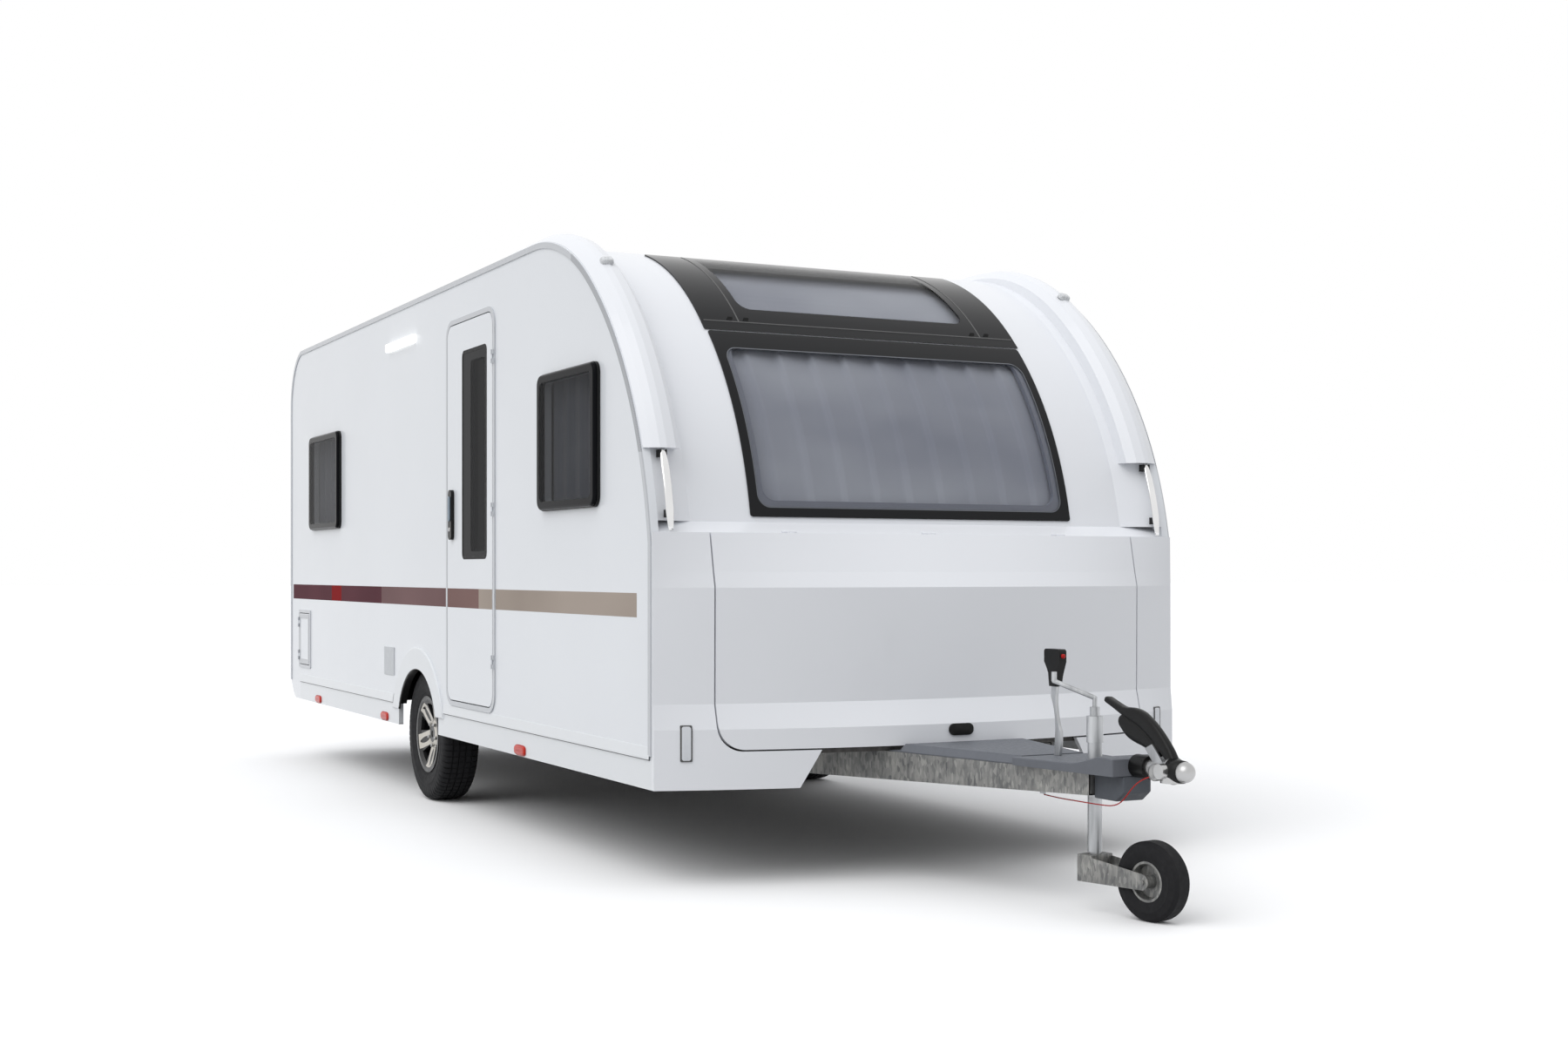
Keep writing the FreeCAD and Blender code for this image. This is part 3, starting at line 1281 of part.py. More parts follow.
def make_chassis():
    rail_base = "floor_base - rail_height"
    drawbar, frame = [], []
    for side in BOTH_SIDES:
        name = side_name(side)
        bent = [(x_at(side, corner[0]), corner[1]) for corner in rail_outline()]
        front = new_body(f"drawbar_{name}")
        extrude(front, "plan", f"drawbar_{name}_rail", rail_base, "floor_base",
                bent[:2] + bent[4:])
        pocket(front, "plan", f"drawbar_{name}_channel", f"{rail_base} + rail_skin",
               "floor_base - rail_skin", [
                   (f"{bent[0][0]} - {side} * rail_skin", bent[0][1]),
                   (f"{bent[1][0]} - {side} * rail_skin", bent[1][1]),
                   (f"{bent[4][0]} - {side} * rail_width", bent[4][1]),
                   (f"{bent[5][0]} - {side} * rail_width", bent[5][1]),
               ])
        drawbar.append(front)
        rear = new_body(f"rail_{name}")
        extrude(rear, "plan", f"rail_{name}_strip", rail_base, "floor_base", bent[1:5])
        web, open_side = sorted((x_at(side, "rail_spread / 2 - rail_skin"),
                                 x_at(side, "rail_spread / 2 - rail_width * 2")), key=number)
        pocket(rear, "plan", f"rail_{name}_channel", f"{rail_base} + rail_skin",
               "floor_base - rail_skin",
               rectangle(web, "nose + rail_bend_back", open_side, "nose + rail_end_back"))
        frame.append(rear)
    clamp_base = "floor_base - clamp_high - 20"
    clamp = new_body("jockey_clamp")
    ahead, behind = (
        f"(rail_front_spread / 2 + rail_flare * (jockey_behind {step}) - rail_skin / 2)"
        for step in ("- clamp_wide", "+ clamp_wide"))
    extrude(clamp, "plan", "jockey_clamp_plate", clamp_base, f"{clamp_base} + clamp_high", [
        (f"-{ahead}", "jockey_y - clamp_wide"),
        (ahead, "jockey_y - clamp_wide"),
        (behind, "jockey_y + clamp_wide"),
        (f"-{behind}", "jockey_y + clamp_wide"),
    ])
    bore = rod("clamp_bore", "z", ("0", "jockey_y", clamp_base), "jockey_tube_radius",
               "clamp_high")
    rails = fuse("drawbar_rails", drawbar + [
        block("drawbar_tie", ("-rail_front_spread / 2", "nose - rail_front_reach", rail_base),
              ("rail_front_spread / 2", "nose - rail_front_reach + 12", "floor_base")),
        clamp,
    ])
    keep(cut("drawbar_bored", rails, bore), "drawbar_frame")
    for name, back in (("front", "steady_front_back"), ("rear", "steady_rear_back")):
        cross = block(
            f"cross_{name}",
            ("-steady_spread / 2 - 50", f"nose + {back} - 20", "floor_base - 40"),
            ("steady_spread / 2 + 50", f"nose + {back} + 20", "floor_base"))
        if name == "front":
            cross = cut("cross_front_fitted", cross, fuse("drawbar_pair", drawbar))
        frame.append(cross)
        for side in BOTH_SIDES:
            for cheek, out in (("outer", "1"), ("inner", "-1")):
                middle = f"{side} * (steady_spread / 2 + {out} * (steady_width / 2 + gap + 3))"
                frame.append(block(
                    f"cheek_{name}_{side_name(side)}_{cheek}",
                    (f"{middle} - 3", f"nose + {back} - 20", "steady_high - 22"),
                    (f"{middle} + 3", f"nose + {back} + 20", "floor_base")))
            frame.append(rod(
                f"pin_{name}_{side_name(side)}", "x",
                (f"{side} * steady_spread / 2 - steady_width / 2 - gap - 8",
                 f"nose + {back}", "steady_high"),
                "steady_pin", "steady_width + gap * 2 + 16"))
    keep(fuse("frame_rails", frame), "chassis_rails")


def make_steadies():
    for end, back, way in (("front", "steady_front_back", 1), ("rear", "steady_rear_back", -1)):
        for side in BOTH_SIDES:
            name = f"{end}_{side_name(side)}"
            leg = new_body(f"leg_{name}")
            pivot = f"(nose + {back})"
            near, far = f"{pivot} - {way} * 16", f"{pivot} + {way} * steady_reach"
            low, high = sorted((near, far), key=number)
            levels = (x_at(side, "steady_spread / 2 - steady_width / 2"),
                      x_at(side, "steady_spread / 2 + steady_width / 2"))
            extrude(leg, "side", f"leg_{name}_channel", *levels,
                    rectangle(low, "steady_high - 16", high, "steady_high + 10"))
            skin = x_at(side, "steady_skin")
            pocket(leg, "side", f"leg_{name}_trough", f"{levels[0]} + {skin}",
                   f"{levels[1]} - {skin}",
                   rectangle(f"{pivot} + {way} * 16" if way > 0 else low,
                             "steady_high - 16 + steady_skin",
                             high if way > 0 else f"{pivot} + {way} * 16", "steady_high + 12"))
            pocket(leg, "side", f"leg_{name}_eye", *levels,
                   ring(pivot, "steady_high", "steady_pin + seat"))
            keep(leg, f"steady_{name}")


def strut(name, start, end, radius):
    """A round bar between two points, each a triple of rules."""
    low, high = (Vector(*(number(rule) for rule in point)) for point in (start, end))
    spans = [f"(({b}) - ({a})) ^ 2" for a, b in zip(start, end)]
    thing = doc.addObject("Part::Cylinder", name)
    thing.Radius = number(radius)
    thing.Height = (high - low).Length
    bind(thing, "Radius", radius)
    bind(thing, "Height", f"sqrt({' + '.join(spans)})")
    return place(thing, *start, rotation=FreeCAD.Rotation(Vector(0, 0, 1), high - low))


def ball(name, centre, radius):
    thing = doc.addObject("Part::Sphere", name)
    thing.Radius = number(radius)
    bind(thing, "Radius", radius)
    return place(thing, *centre)


def make_hitch():
    housing = new_body("housing")
    extrude(housing, "side", "housing_block", "-overrun_width / 2", "overrun_width / 2", [
        ("nose - overrun_front", "overrun_base + 30"),
        ("nose - overrun_front + 40", "overrun_base"),
        ("nose - rail_front_reach", "overrun_base"),
        ("nose - rail_front_reach", "floor_base"),
        ("nose - overrun_front", "floor_base"),
    ])
    keep(housing, "overrun_housing")
    middle = ("0", "nose - ball_reach", "coupling_high")
    shaft = rod("shaft", "y", ("0", "nose - ball_reach", "coupling_high"), "shaft_radius",
                "ball_ahead")
    cup = rod("cup", "z", ("0", "nose - ball_reach", "cup_base"), "cup_radius",
              "coupling_high - cup_base")
    knobs = rod("knobs", "x", ("-knob_reach", "nose - ball_reach", "coupling_high"),
                "knob_radius", "knob_reach * 2")
    tip_centre = "nose - hitch_reach + head_nose_radius"
    neck = rod("neck", "y", ("0", tip_centre, "coupling_high"), "head_nose_radius",
               "head_nose - head_nose_radius")
    tip = ball("tip", ("0", tip_centre, "coupling_high"), "head_nose_radius")
    whole = fuse("head_solid", [shaft, cup, knobs, neck, tip, ball("head", middle, "head_radius")])
    under = block("under_cup", ("-knob_reach", "nose - hitch_reach", "cup_base - 20"),
                  ("knob_reach", "nose - overrun_front", "cup_base"))
    socket = rod("socket", "z", ("0", "nose - ball_reach", "cup_base - 1"), "ball_radius",
                 "socket_depth + 1")
    keep(cut("head_bored", whole, fuse("head_tools", [under, socket])), "coupling_head")
    sleeve = rod("sleeve", "y", ("0", "nose - overrun_front - bellows_length", "coupling_high"),
                 "bellows_radius", "bellows_length")
    sleeve_bore = rod("sleeve_bore", "y",
                      ("0", "nose - overrun_front - bellows_length", "coupling_high"),
                      "shaft_radius", "bellows_length")
    keep(cut("sleeve_bored", sleeve, sleeve_bore), "drawbar_bellows")
    make_stabiliser_handle()
    make_drawbar_cover()
    make_handbrake()


def make_stabiliser_handle():
    handle = new_body("stabiliser_handle")
    foot = "(nose - ball_reach)"
    extrude(handle, "side", "handle_bar", "-handle_width / 2", "handle_width / 2", [
        (f"{foot} - 30", "coupling_high + 20"),
        (f"{foot} + 20", "coupling_high + 20"),
        (f"{foot} + 25", "coupling_high + 42"),
        (f"{foot} + 100", "coupling_high + 54", "-600"),
        (f"{foot} + 190", "coupling_high + 72", "90"),
        (f"{foot} + 265", "coupling_high + 132", "30"),
        (f"{foot} + 250", "coupling_high + 166"),
        (f"{foot} + 335", "coupling_high + 196"),
        (f"{foot} + 338", "coupling_high + 212", "10"),
        (f"{foot} + 325", "coupling_high + 218"),
        (f"{foot} + 230", "coupling_high + 190"),
        (f"{foot} + 150", "coupling_high + 182", "400"),
        (f"{foot} + 20", "coupling_high + 92", "400"),
    ])
    keep(cut("handle_seated", handle, ball("handle_seat", ("0", foot, "coupling_high"),
                                           "head_radius")), "coupling_handle")


def make_drawbar_cover():
    rear_level = "nose - overrun_front + cover_length"
    plate = new_body("cover")
    extrude(plate, "plan", "cover_plate", "floor_base", "floor_base + cover_hood", [
        ("-cover_front / 2", "nose - overrun_front"),
        ("cover_front / 2", "nose - overrun_front"),
        ("cover_rear / 2", rear_level),
        ("-cover_rear / 2", rear_level),
    ])
    pocket(plate, "plan", "cover_tube_hole", "floor_base", "floor_base + cover_hood",
           ring("0", "jockey_y", "jockey_tube_radius + 2"))
    profile = new_body("cover_profile")
    extrude(profile, "side", "cover_side", "-cover_rear", "cover_rear", [
        ("nose - overrun_front", "floor_base"),
        (rear_level, "floor_base"),
        (rear_level, "floor_base + cover_thick"),
        ("nose - overrun_front + cover_length * 0.4", "floor_base + cover_thick * 1.1", "-600"),
        ("nose - overrun_front + cover_length * 0.15", "floor_base + cover_hood", "300"),
        ("nose - overrun_front", "floor_base + cover_hood - 4"),
    ])
    keep(common("cover_whole", plate, profile), "drawbar_cover")


def make_handbrake():
    """A bent flat lever and its grip, standing on the drawbar cover."""
    foot = "(nose - lever_ahead)"
    lever = new_body("brake_lever")
    extrude(lever, "side", "lever_bar", "-lever_thick / 2", "lever_thick / 2", [
        (f"{foot} - lever_wide / 2", "floor_base + cover_thick / 2"),
        (f"{foot} + lever_wide / 2", "floor_base + cover_thick / 2"),
        (f"{foot} + lever_wide / 2 - 10", "floor_base + cover_thick * 4", "-240"),
        (f"{foot} + lever_wide / 2 + 16", "grip_base - 36", "240"),
        (f"{foot} + lever_wide / 2 + 12", "grip_base"),
        (f"{foot} - lever_wide / 2 + 12", "grip_base"),
        (f"{foot} - lever_wide / 2 + 16", "grip_base - 36", "-240"),
        (f"{foot} - lever_wide / 2 - 10", "floor_base + cover_thick * 4", "240"),
    ])
    keep(cut("lever_seated", lever, NODES["drawbar_cover"]), "handbrake_lever")
    grip = new_body("brake_grip")
    extrude(grip, "side", "grip_side", "-lever_wide / 2", "lever_wide / 2", [
        (f"{foot} - 6", "grip_base"),
        (f"{foot} + 28", "grip_base"),
        (f"{foot} + 34", "grip_base + 45", "-200"),
        (f"{foot} + 58", "grip_base + 84"),
        (f"{foot} + 58", "lever_top - 8", "12"),
        (f"{foot} + 46", "lever_top"),
        (f"{foot} - 20", "lever_top", "12"),
        (f"{foot} - 32", "lever_top - 8"),
        (f"{foot} - 32", "grip_base + 84"),
        (f"{foot} - 16", "grip_base + 45", "-200"),
    ])
    keep(grip, "handbrake_grip")


def make_jockey():
    tube = new_body("outer_tube")
    levels = ("jockey_tube_foot", "jockey_tube_top")
    extrude(tube, "plan", "outer_tube_solid", *levels, ring("0", "jockey_y", "jockey_tube_radius"))
    extrude(tube, "plan", "outer_tube_collar", "jockey_tube_top - collar_high", "jockey_tube_top",
            ring("0", "jockey_y", "collar_radius"))
    extrude(tube, "plan", "outer_tube_neck", "jockey_tube_top", "jockey_tube_top + neck_high",
            ring("0", "jockey_y", "collar_radius * 0.6"))
    pocket(tube, "plan", "outer_tube_bore", "jockey_tube_foot", "jockey_tube_top - 15",
           ring("0", "jockey_y", "jockey_leg_radius + seat"))
    keep(tube, "jockey_tube")
    bend = ("0", "jockey_y", "jockey_tube_top + neck_high + 30")
    end = ("-crank_reach", "jockey_y + crank_back", f"{bend[2]} + crank_rise")
    keep(fuse("crank", [
        strut("crank_stem", ("0", "jockey_y", "jockey_tube_top + neck_high"), bend, "8"),
        ball("crank_bend", bend, "8"),
        strut("crank_arm", bend, end, "8"),
        ball("crank_end", end, "8"),
        strut("crank_handle", end, (end[0], end[1], f"{end[2]} + crank_grip * 0.5"), "9"),
    ]), "jockey_crank")
    leg = new_body("inner_tube")
    extrude(leg, "plan", "inner_tube_solid", "jockey_fork_top - 40", "jockey_tube_top - 60",
            ring("0", "jockey_y", "jockey_leg_radius"))
    keep(leg, "jockey_leg")
    half_fork = "(jockey_wheel_width / 2 + gap + 4)"
    fork = new_body("fork_block")
    extrude(fork, "plan", "fork_bridge", "jockey_fork_top - 40", "jockey_fork_top",
            rectangle(f"-{half_fork}", "-32", half_fork, "32"))
    pocket(fork, "plan", "fork_bore", "jockey_fork_top - 40", "jockey_fork_top",
           ring("0", "0", "jockey_leg_radius + seat"))
    pieces = [fork]
    for side in BOTH_SIDES:
        plate = new_body(f"fork_plate_{side_name(side)}")
        extrude(plate, "side", f"fork_plate_{side_name(side)}_cut",
                x_at(side, f"{half_fork} - 4"), x_at(side, half_fork), [
                    ("-jockey_trail", "jockey_wheel_radius - 26"),
                    ("32", "jockey_fork_top - 90"),
                    ("32", "jockey_fork_top"),
                    ("-jockey_trail", "jockey_wheel_radius + 26", "26.5"),
                ])
        pieces.append(plate)
    pieces.append(rod("jockey_axle", "x", (f"-{half_fork} - 6", "-jockey_trail",
                                           "jockey_wheel_radius"), "8", f"{half_fork} * 2 + 12"))
    turned = FreeCAD.Rotation(Vector(0, 0, 1), number("jockey_turn"))
    whole = place(fuse("fork_whole", pieces), "0", "jockey_y", "0", turned)
    keep(whole, "jockey_fork")
    tyre = new_body("jockey_tyre_body")
    turn(tyre, "jockey_tyre_section", half_profile([
        ("jockey_wheel_width * 0.28", "jockey_wheel_radius"),
        ("jockey_wheel_width * 0.44", "jockey_wheel_radius - 10"),
        ("jockey_wheel_width * 0.5", "jockey_wheel_radius - 32"),
        ("jockey_wheel_width * 0.42", "jockey_rim_radius + seat"),
    ]))
    rim = new_body("jockey_rim_body")
    turn(rim, "jockey_rim_section", half_profile([
        ("jockey_wheel_width * 0.40", "jockey_rim_radius"),
        ("jockey_wheel_width * 0.40", "jockey_rim_radius - 8"),
        ("10", "jockey_rim_radius - 14"),
        ("10", "24"),
        ("jockey_wheel_width / 2", "18"),
        ("jockey_wheel_width / 2", "8 + seat"),
    ]))
    for piece, label in ((tyre, "jockey_tyre"), (rim, "jockey_rim")):
        keep(place(piece, "jockey_trail * sin(jockey_turn)",
                   "jockey_y - jockey_trail * cos(jockey_turn)", "jockey_wheel_radius", turned),
             label)


def make_curtains():
    lining = panel_strip("lining", "(-(moulding + seat))", "blind_thick")
    front = common("front_blind", lining, window_prism("front_blind_shape", "14"))
    blinds = [front]
    for side in BOTH_SIDES:
        for window, (back, length) in SIDE_WINDOWS.items():
            name = f"blind_{side_name(side)}_{window}"
            low = "-inner + seat" if side == DOOR_SIDE else "inner - seat - blind_thick"
            blinds.append(block(
                name, (low, f"nose + {back} + gap", "window_base"),
                (f"{low} + blind_thick", f"nose + {back} + {length} - gap", "window_top")))
    keep(together("blinds", blinds), "curtains")


def make_awning_rails():
    rails = []
    for side in BOTH_SIDES:
        name = side_name(side)
        rail = new_body(f"awning_rail_{name}")
        extrude(rail, "side", f"awning_rail_{name}_strip", x_at(side, "half"),
                x_at(side, "half + roof_trim_proud"), [
                    ("tail - roof_trim", "wall_base"),
                    ("tail", "wall_base"),
                    ("tail", "tail_foot", "tail_radius"),
                    ("tail - tail_inset", "roof_height"),
                    ("nose + brow_back", "roof_height", "brow_high_radius"),
                    ("nose + brow_mid_back", "brow_mid_high", "brow_low_radius"),
                    ("nose", "brow_foot"),
                    ("nose", "skirt_base + roof_trim * 5"),
                    ("nose + roof_trim", "skirt_base + roof_trim * 5"),
                    ("nose + roof_trim", "brow_foot", "-(brow_low_radius - roof_trim)"),
                    ("nose + brow_mid_back + sin(brow_mid_tilt) * roof_trim",
                     "brow_mid_high - cos(brow_mid_tilt) * roof_trim",
                     "-(brow_high_radius - roof_trim)"),
                    ("nose + brow_back", "roof_height - roof_trim"),
                    ("tail - tail_inset", "roof_height - roof_trim", "-(tail_radius - roof_trim)"),
                    ("tail - roof_trim", "tail_foot"),
                ])
        rails.append(rail)
    keep(together("awning_rail_pair", rails), "awning_rails")


MARKER_PLACES = {
    "front": "front_marker_back",
    "middle": "middle_marker_back",
    "rear": "rear_marker_back",
}


def make_small_fittings():
    keep(block("lamp", ("-half - awning_lamp_proud", "nose + awning_lamp_back",
                        "awning_lamp_base"),
               ("-half", "nose + awning_lamp_back + awning_lamp_length",
                "awning_lamp_base + awning_lamp_height")), "awning_lamp")
    markers, bars, pads = [], [], []
    for side in BOTH_SIDES:
        name = side_name(side)
        low = "-half - marker_proud" if side == DOOR_SIDE else "half"
        for end, back in MARKER_PLACES.items():
            middle = f"nose + {back}"
            markers.append(block(
                f"marker_{name}_{end}",
                (low, f"{middle} - marker_length / 2", "marker_base"),
                (f"{low} + marker_proud", f"{middle} + marker_length / 2",
                 "marker_base + marker_height")))
        across = x_at(side, "half - grab_in")
        bar = strut(f"grab_{name}_bar", (across, "nose - 12", "nose_top + 6"),
                    (across, "nose + fairing_foot_back - 24", "fairing_foot + 5"), "grab_radius")
        limit = block(f"grab_{name}_limit", (f"{across} - 20", "nose - 40", "nose_top"),
                      (f"{across} + 20", "nose + fairing_depth * 2", "fairing_foot"))
        bars.append(common(f"grab_{name}", bar, limit))
        for end, foot, front, back in (("low", "nose_top + 52", "nose", "nose + 22"),
                                       ("high", "fairing_foot - grab_pad - 6",
                                        "nose + fairing_foot_back - 36",
                                        "nose + fairing_foot_back - 2")):
            pad = block(f"pad_{name}_{end}", (f"{across} - grab_pad / 2", front, foot),
                        (f"{across} + grab_pad / 2", back, f"{foot} + grab_pad"))
            tools = fuse(f"pad_{name}_{end}_tools", [bars[-1], NODES["front_panel"]])
            pads.append(cut(f"pad_{name}_{end}_fitted", pad, tools))
    keep(together("marker_set", markers), "side_markers")
    make_awning_rails()
    keep(together("grab_bars", bars), "grab_handles")
    keep(together("grab_pads", pads), "grab_spacers")
    keep(block("vent", ("-half - vent_proud", "nose + vent_back", "vent_base"),
               ("-half", "nose + vent_back + vent_length", "vent_base + vent_height")),
         "wall_vents")


def build():
    for side in BOTH_SIDES:
        make_side_wall(side)
        make_road_wheel(side)
    make_side_windows()
    make_roof()
    make_rear_wall()
    make_rear_lamps()
    make_front_panel()
    make_front_windows()
    make_nose()
    make_nose_fittings()
    make_floor()
    make_wheel_boxes()
    make_arch_trims()
    make_skirts()
    make_bumper()
    make_locker_wall()
    make_door()
    make_service_door()
    make_axle()
    make_chassis()
    make_steadies()
    make_hitch()
    make_jockey()
    make_curtains()
    make_small_fittings()
    doc.recompute()


def faults():
    found = [f"{item.Name}: {item.State}" for item in doc.Objects
             if "Invalid" in item.State or "Error" in item.State]
    for label, item in NODES.items():
        if item.Shape.isNull() or not item.Shape.isValid() or not item.Shape.Solids:
            found.append(f"{label}: no sound solid")
    return found


def export():
    os.makedirs("parts", exist_ok=True)
    for label, item in NODES.items():
        item.Shape.exportStep(os.path.join("parts", label + ".step"))
        box = item.Shape.BoundBox
        print(f"{label}: {len(item.Shape.Solids)} solids, {item.Shape.Volume / 1e9:.4f} m3,",
              f"x {box.XMin:.0f} {box.XMax:.0f} y {box.YMin:.0f} {box.YMax:.0f}",
              f"z {box.ZMin:.0f} {box.ZMax:.0f}")


build()
problems = faults()
if problems:
    raise ValueError("; ".join(problems))
export()
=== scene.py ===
# %% [markdown]
# A touring caravan with one axle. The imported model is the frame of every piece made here: lengths
# are metres, the front faces -Y, the door side is -X and up is +Z. The whole caravan could be
# modelled anew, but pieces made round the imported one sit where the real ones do, and move with
# its bodies.

# %% Load the frame
import math

import bmesh
import bpy
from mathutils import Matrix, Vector
from mathutils.bvhtree import BVHTree


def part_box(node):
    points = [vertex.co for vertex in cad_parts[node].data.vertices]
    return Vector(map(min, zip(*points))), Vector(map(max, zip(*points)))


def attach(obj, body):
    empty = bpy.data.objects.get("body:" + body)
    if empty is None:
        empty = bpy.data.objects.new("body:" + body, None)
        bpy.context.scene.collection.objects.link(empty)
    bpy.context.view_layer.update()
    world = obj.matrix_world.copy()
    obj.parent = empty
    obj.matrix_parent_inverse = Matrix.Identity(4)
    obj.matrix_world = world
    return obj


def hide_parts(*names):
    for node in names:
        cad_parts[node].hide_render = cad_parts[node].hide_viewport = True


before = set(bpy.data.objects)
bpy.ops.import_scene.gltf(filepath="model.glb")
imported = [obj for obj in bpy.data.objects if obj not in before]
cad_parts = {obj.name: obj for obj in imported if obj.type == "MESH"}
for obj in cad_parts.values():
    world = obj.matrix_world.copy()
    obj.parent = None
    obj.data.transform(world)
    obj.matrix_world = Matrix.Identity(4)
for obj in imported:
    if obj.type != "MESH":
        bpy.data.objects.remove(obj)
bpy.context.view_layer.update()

# %% [markdown]
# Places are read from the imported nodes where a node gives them. Typed numbers would be shorter,
# but a piece that is placed by its node follows the caravan when a size changes. The nose seam is
# where the side walls end, and the door side's wall face is the plane that the doors, lamps and
# stripes lie on.


# %% Places read from the nodes
def corners_of(node_name):
    """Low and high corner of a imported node."""
    return [Vector(corner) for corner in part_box(node_name)]


def middle_of(node_name):
    """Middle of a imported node's box."""
    low, high = corners_of(node_name)
    return (low + high) / 2


SIDES = (("right", -1), ("left", 1))
BOTH = (-1, 1)
REARWARD = Vector((0, 1, 0))
WALL_LOW, WALL_HIGH = corners_of("side_wall_right")
NOSE_SEAM = WALL_LOW.y
TAIL = WALL_HIGH.y
DOOR_FACE = WALL_LOW.x
FAR_FACE = corners_of("side_wall_left")[1].x
AXLE = middle_of("rim_right")
print("body", round(TAIL - NOSE_SEAM, 3), "m long,", round(FAR_FACE - DOOR_FACE, 3), "m wide")

# %% [markdown]
# The camera stands low in front of the door side. Its place and its angle were solved from the
# straight edges of the body. It looks level through a shifted lens, which keeps the uprights
# upright, where a tilted camera would lean them.


# %% Camera
def into_scene(name, data):
    """A new object in the scene, from a mesh, a curve, a lamp or a camera."""
    thing = bpy.data.objects.new(name, data)
    bpy.context.scene.collection.objects.link(thing)
    return thing


PHOTO_WIDTH = 1800
FOCAL_PIXELS = 2180.1
HORIZON_BELOW_MIDDLE = 56.9
SENSOR = 36.0
EYE = Vector((-3.789, -8.330, 1.127))
TURN_TO_FAR_SIDE = math.radians(26.95)

camera_data = bpy.data.cameras.new("studio_camera")
camera_data.sensor_width = SENSOR
camera_data.lens = FOCAL_PIXELS / PHOTO_WIDTH * SENSOR
camera_data.shift_y = HORIZON_BELOW_MIDDLE / PHOTO_WIDTH
camera = into_scene("studio_camera", camera_data)
camera.location = EYE
camera.rotation_euler = (math.radians(90), 0, -TURN_TO_FAR_SIDE)
bpy.context.scene.camera = camera
print("lens", round(camera_data.lens, 2), "mm")

# %% [markdown]
# A colour is given as a screen shows it, from 0 to 255, because that is how it can be compared by
# eye. A shader takes linear light, so one function turns the first into the second.


# %% Colours
def tone(red, green, blue):
    """Screen colour to linear light."""
    shares = (value / 255 for value in (red, green, blue))
    return tuple(share / 12.92 if share < 0.04045 else ((share + 0.055) / 1.055) ** 2.4
                 for share in shares)


def grey(value):
    return tone(value, value, value)


def level(value):
    return (value, value, value)


print("screen grey 128 in linear light", round(grey(128)[0], 3))

# %% [markdown]
# A finish is a small node graph round one Principled shader. It could be drawn by hand in the
# shader editor, but the same few steps come back in every finish. So short helpers make the
# material, add a node, join two sockets and set the shader's inputs by name.


# %% A finish and its nodes
def new_finish(name, colour, roughness, metallic=0.0):
    finish = bpy.data.materials.new(name)
    finish.use_nodes = True
    shader = finish.node_tree.nodes["Principled BSDF"]
    shader.inputs["Base Color"].default_value = (*colour, 1.0)
    shader.inputs["Roughness"].default_value = roughness
    shader.inputs["Metallic"].default_value = metallic
    return finish


def shader_of(finish):
    return finish.node_tree.nodes["Principled BSDF"]


def add_node(finish, kind, **settings):
    node = finish.node_tree.nodes.new(kind)
    for name, value in settings.items():
        setattr(node, name, value)
    return node


def link(finish, start, end):
    """Join two sockets, or a Value and a socket."""
    finish.node_tree.links.new(getattr(start, "socket", start), end)


def tune(finish, settings):
    """Set the shader's inputs by their names."""
    for socket, value in settings.items():
        shader_of(finish).inputs[socket].default_value = value


print("finishes so far", len(bpy.data.materials))

# %% [markdown]
# Real surfaces are never quite even. A picture could be laid on each mesh, but these meshes
# aren't unwrapped. Noise in object coordinates needs no unwrapping, and since those are metres, a
# pattern has the same size on every piece. It can steer the colour, the roughness or the bump.


# %% Patterns
def stretched_place(finish, stretch):
    """Object coordinates, scaled along each axis."""
    squeeze = add_node(finish, "ShaderNodeMapping")
    squeeze.inputs["Scale"].default_value = stretch
    place = add_node(finish, "ShaderNodeTexCoord")
    link(finish, place.outputs["Object"], squeeze.inputs["Vector"])
    return squeeze.outputs["Vector"]


def noise_of(finish, scale, detail=4.0, stretch=(1, 1, 1)):
    """Noise whose scale counts per metre."""
    noise = add_node(finish, "ShaderNodeTexNoise")
    noise.inputs["Scale"].default_value = scale
    noise.inputs["Detail"].default_value = detail
    link(finish, stretched_place(finish, stretch), noise.inputs["Vector"])
    return noise.outputs["Fac"]


def ramp_of(finish, source, stops):
    """A colour ramp with (place, colour) stops."""
    ramp = add_node(finish, "ShaderNodeValToRGB")
    ramp.color_ramp.elements[0].position = stops[0][0]
    ramp.color_ramp.elements[0].color = (*stops[0][1], 1)
    ramp.color_ramp.elements[1].position = stops[-1][0]
    ramp.color_ramp.elements[1].color = (*stops[-1][1], 1)
    for position, colour in stops[1:-1]:
        ramp.color_ramp.elements.new(position).color = (*colour, 1)
    link(finish, source, ramp.inputs["Fac"])
    return ramp.outputs["Color"]


def vary_colour(finish, source, stops):
    """Colour the finish by a ramp over a pattern."""
    link(finish, ramp_of(finish, source, stops), shader_of(finish).inputs["Base Color"])


def vary_roughness(finish, source, low, high):
    """Let the roughness follow a pattern between two values."""
    link(finish, ramp_of(finish, source, [(0.3, level(low)), (0.7, level(high))]),
         shader_of(finish).inputs["Roughness"])


def bump_from(finish, source, strength, distance):
    bump = add_node(finish, "ShaderNodeBump")
    bump.inputs["Strength"].default_value = strength
    bump.inputs["Distance"].default_value = distance
    link(finish, source, bump.inputs["Height"])
    link(finish, bump.outputs["Normal"], shader_of(finish).inputs["Normal"])


print("patterns for colour, roughness and bump")

# %% [markdown]
# The body is gloss white sheet: a cool white coat over smooth aluminium, and a moulded plastic
# front. One flat white would do for a small box. On panels this large a faint, wide waviness
# bends long reflections a little, as real sheet does, and a slow drift in the colour keeps them
# from looking like paper.

# %% White paint
DULL_SHARE = 0.975


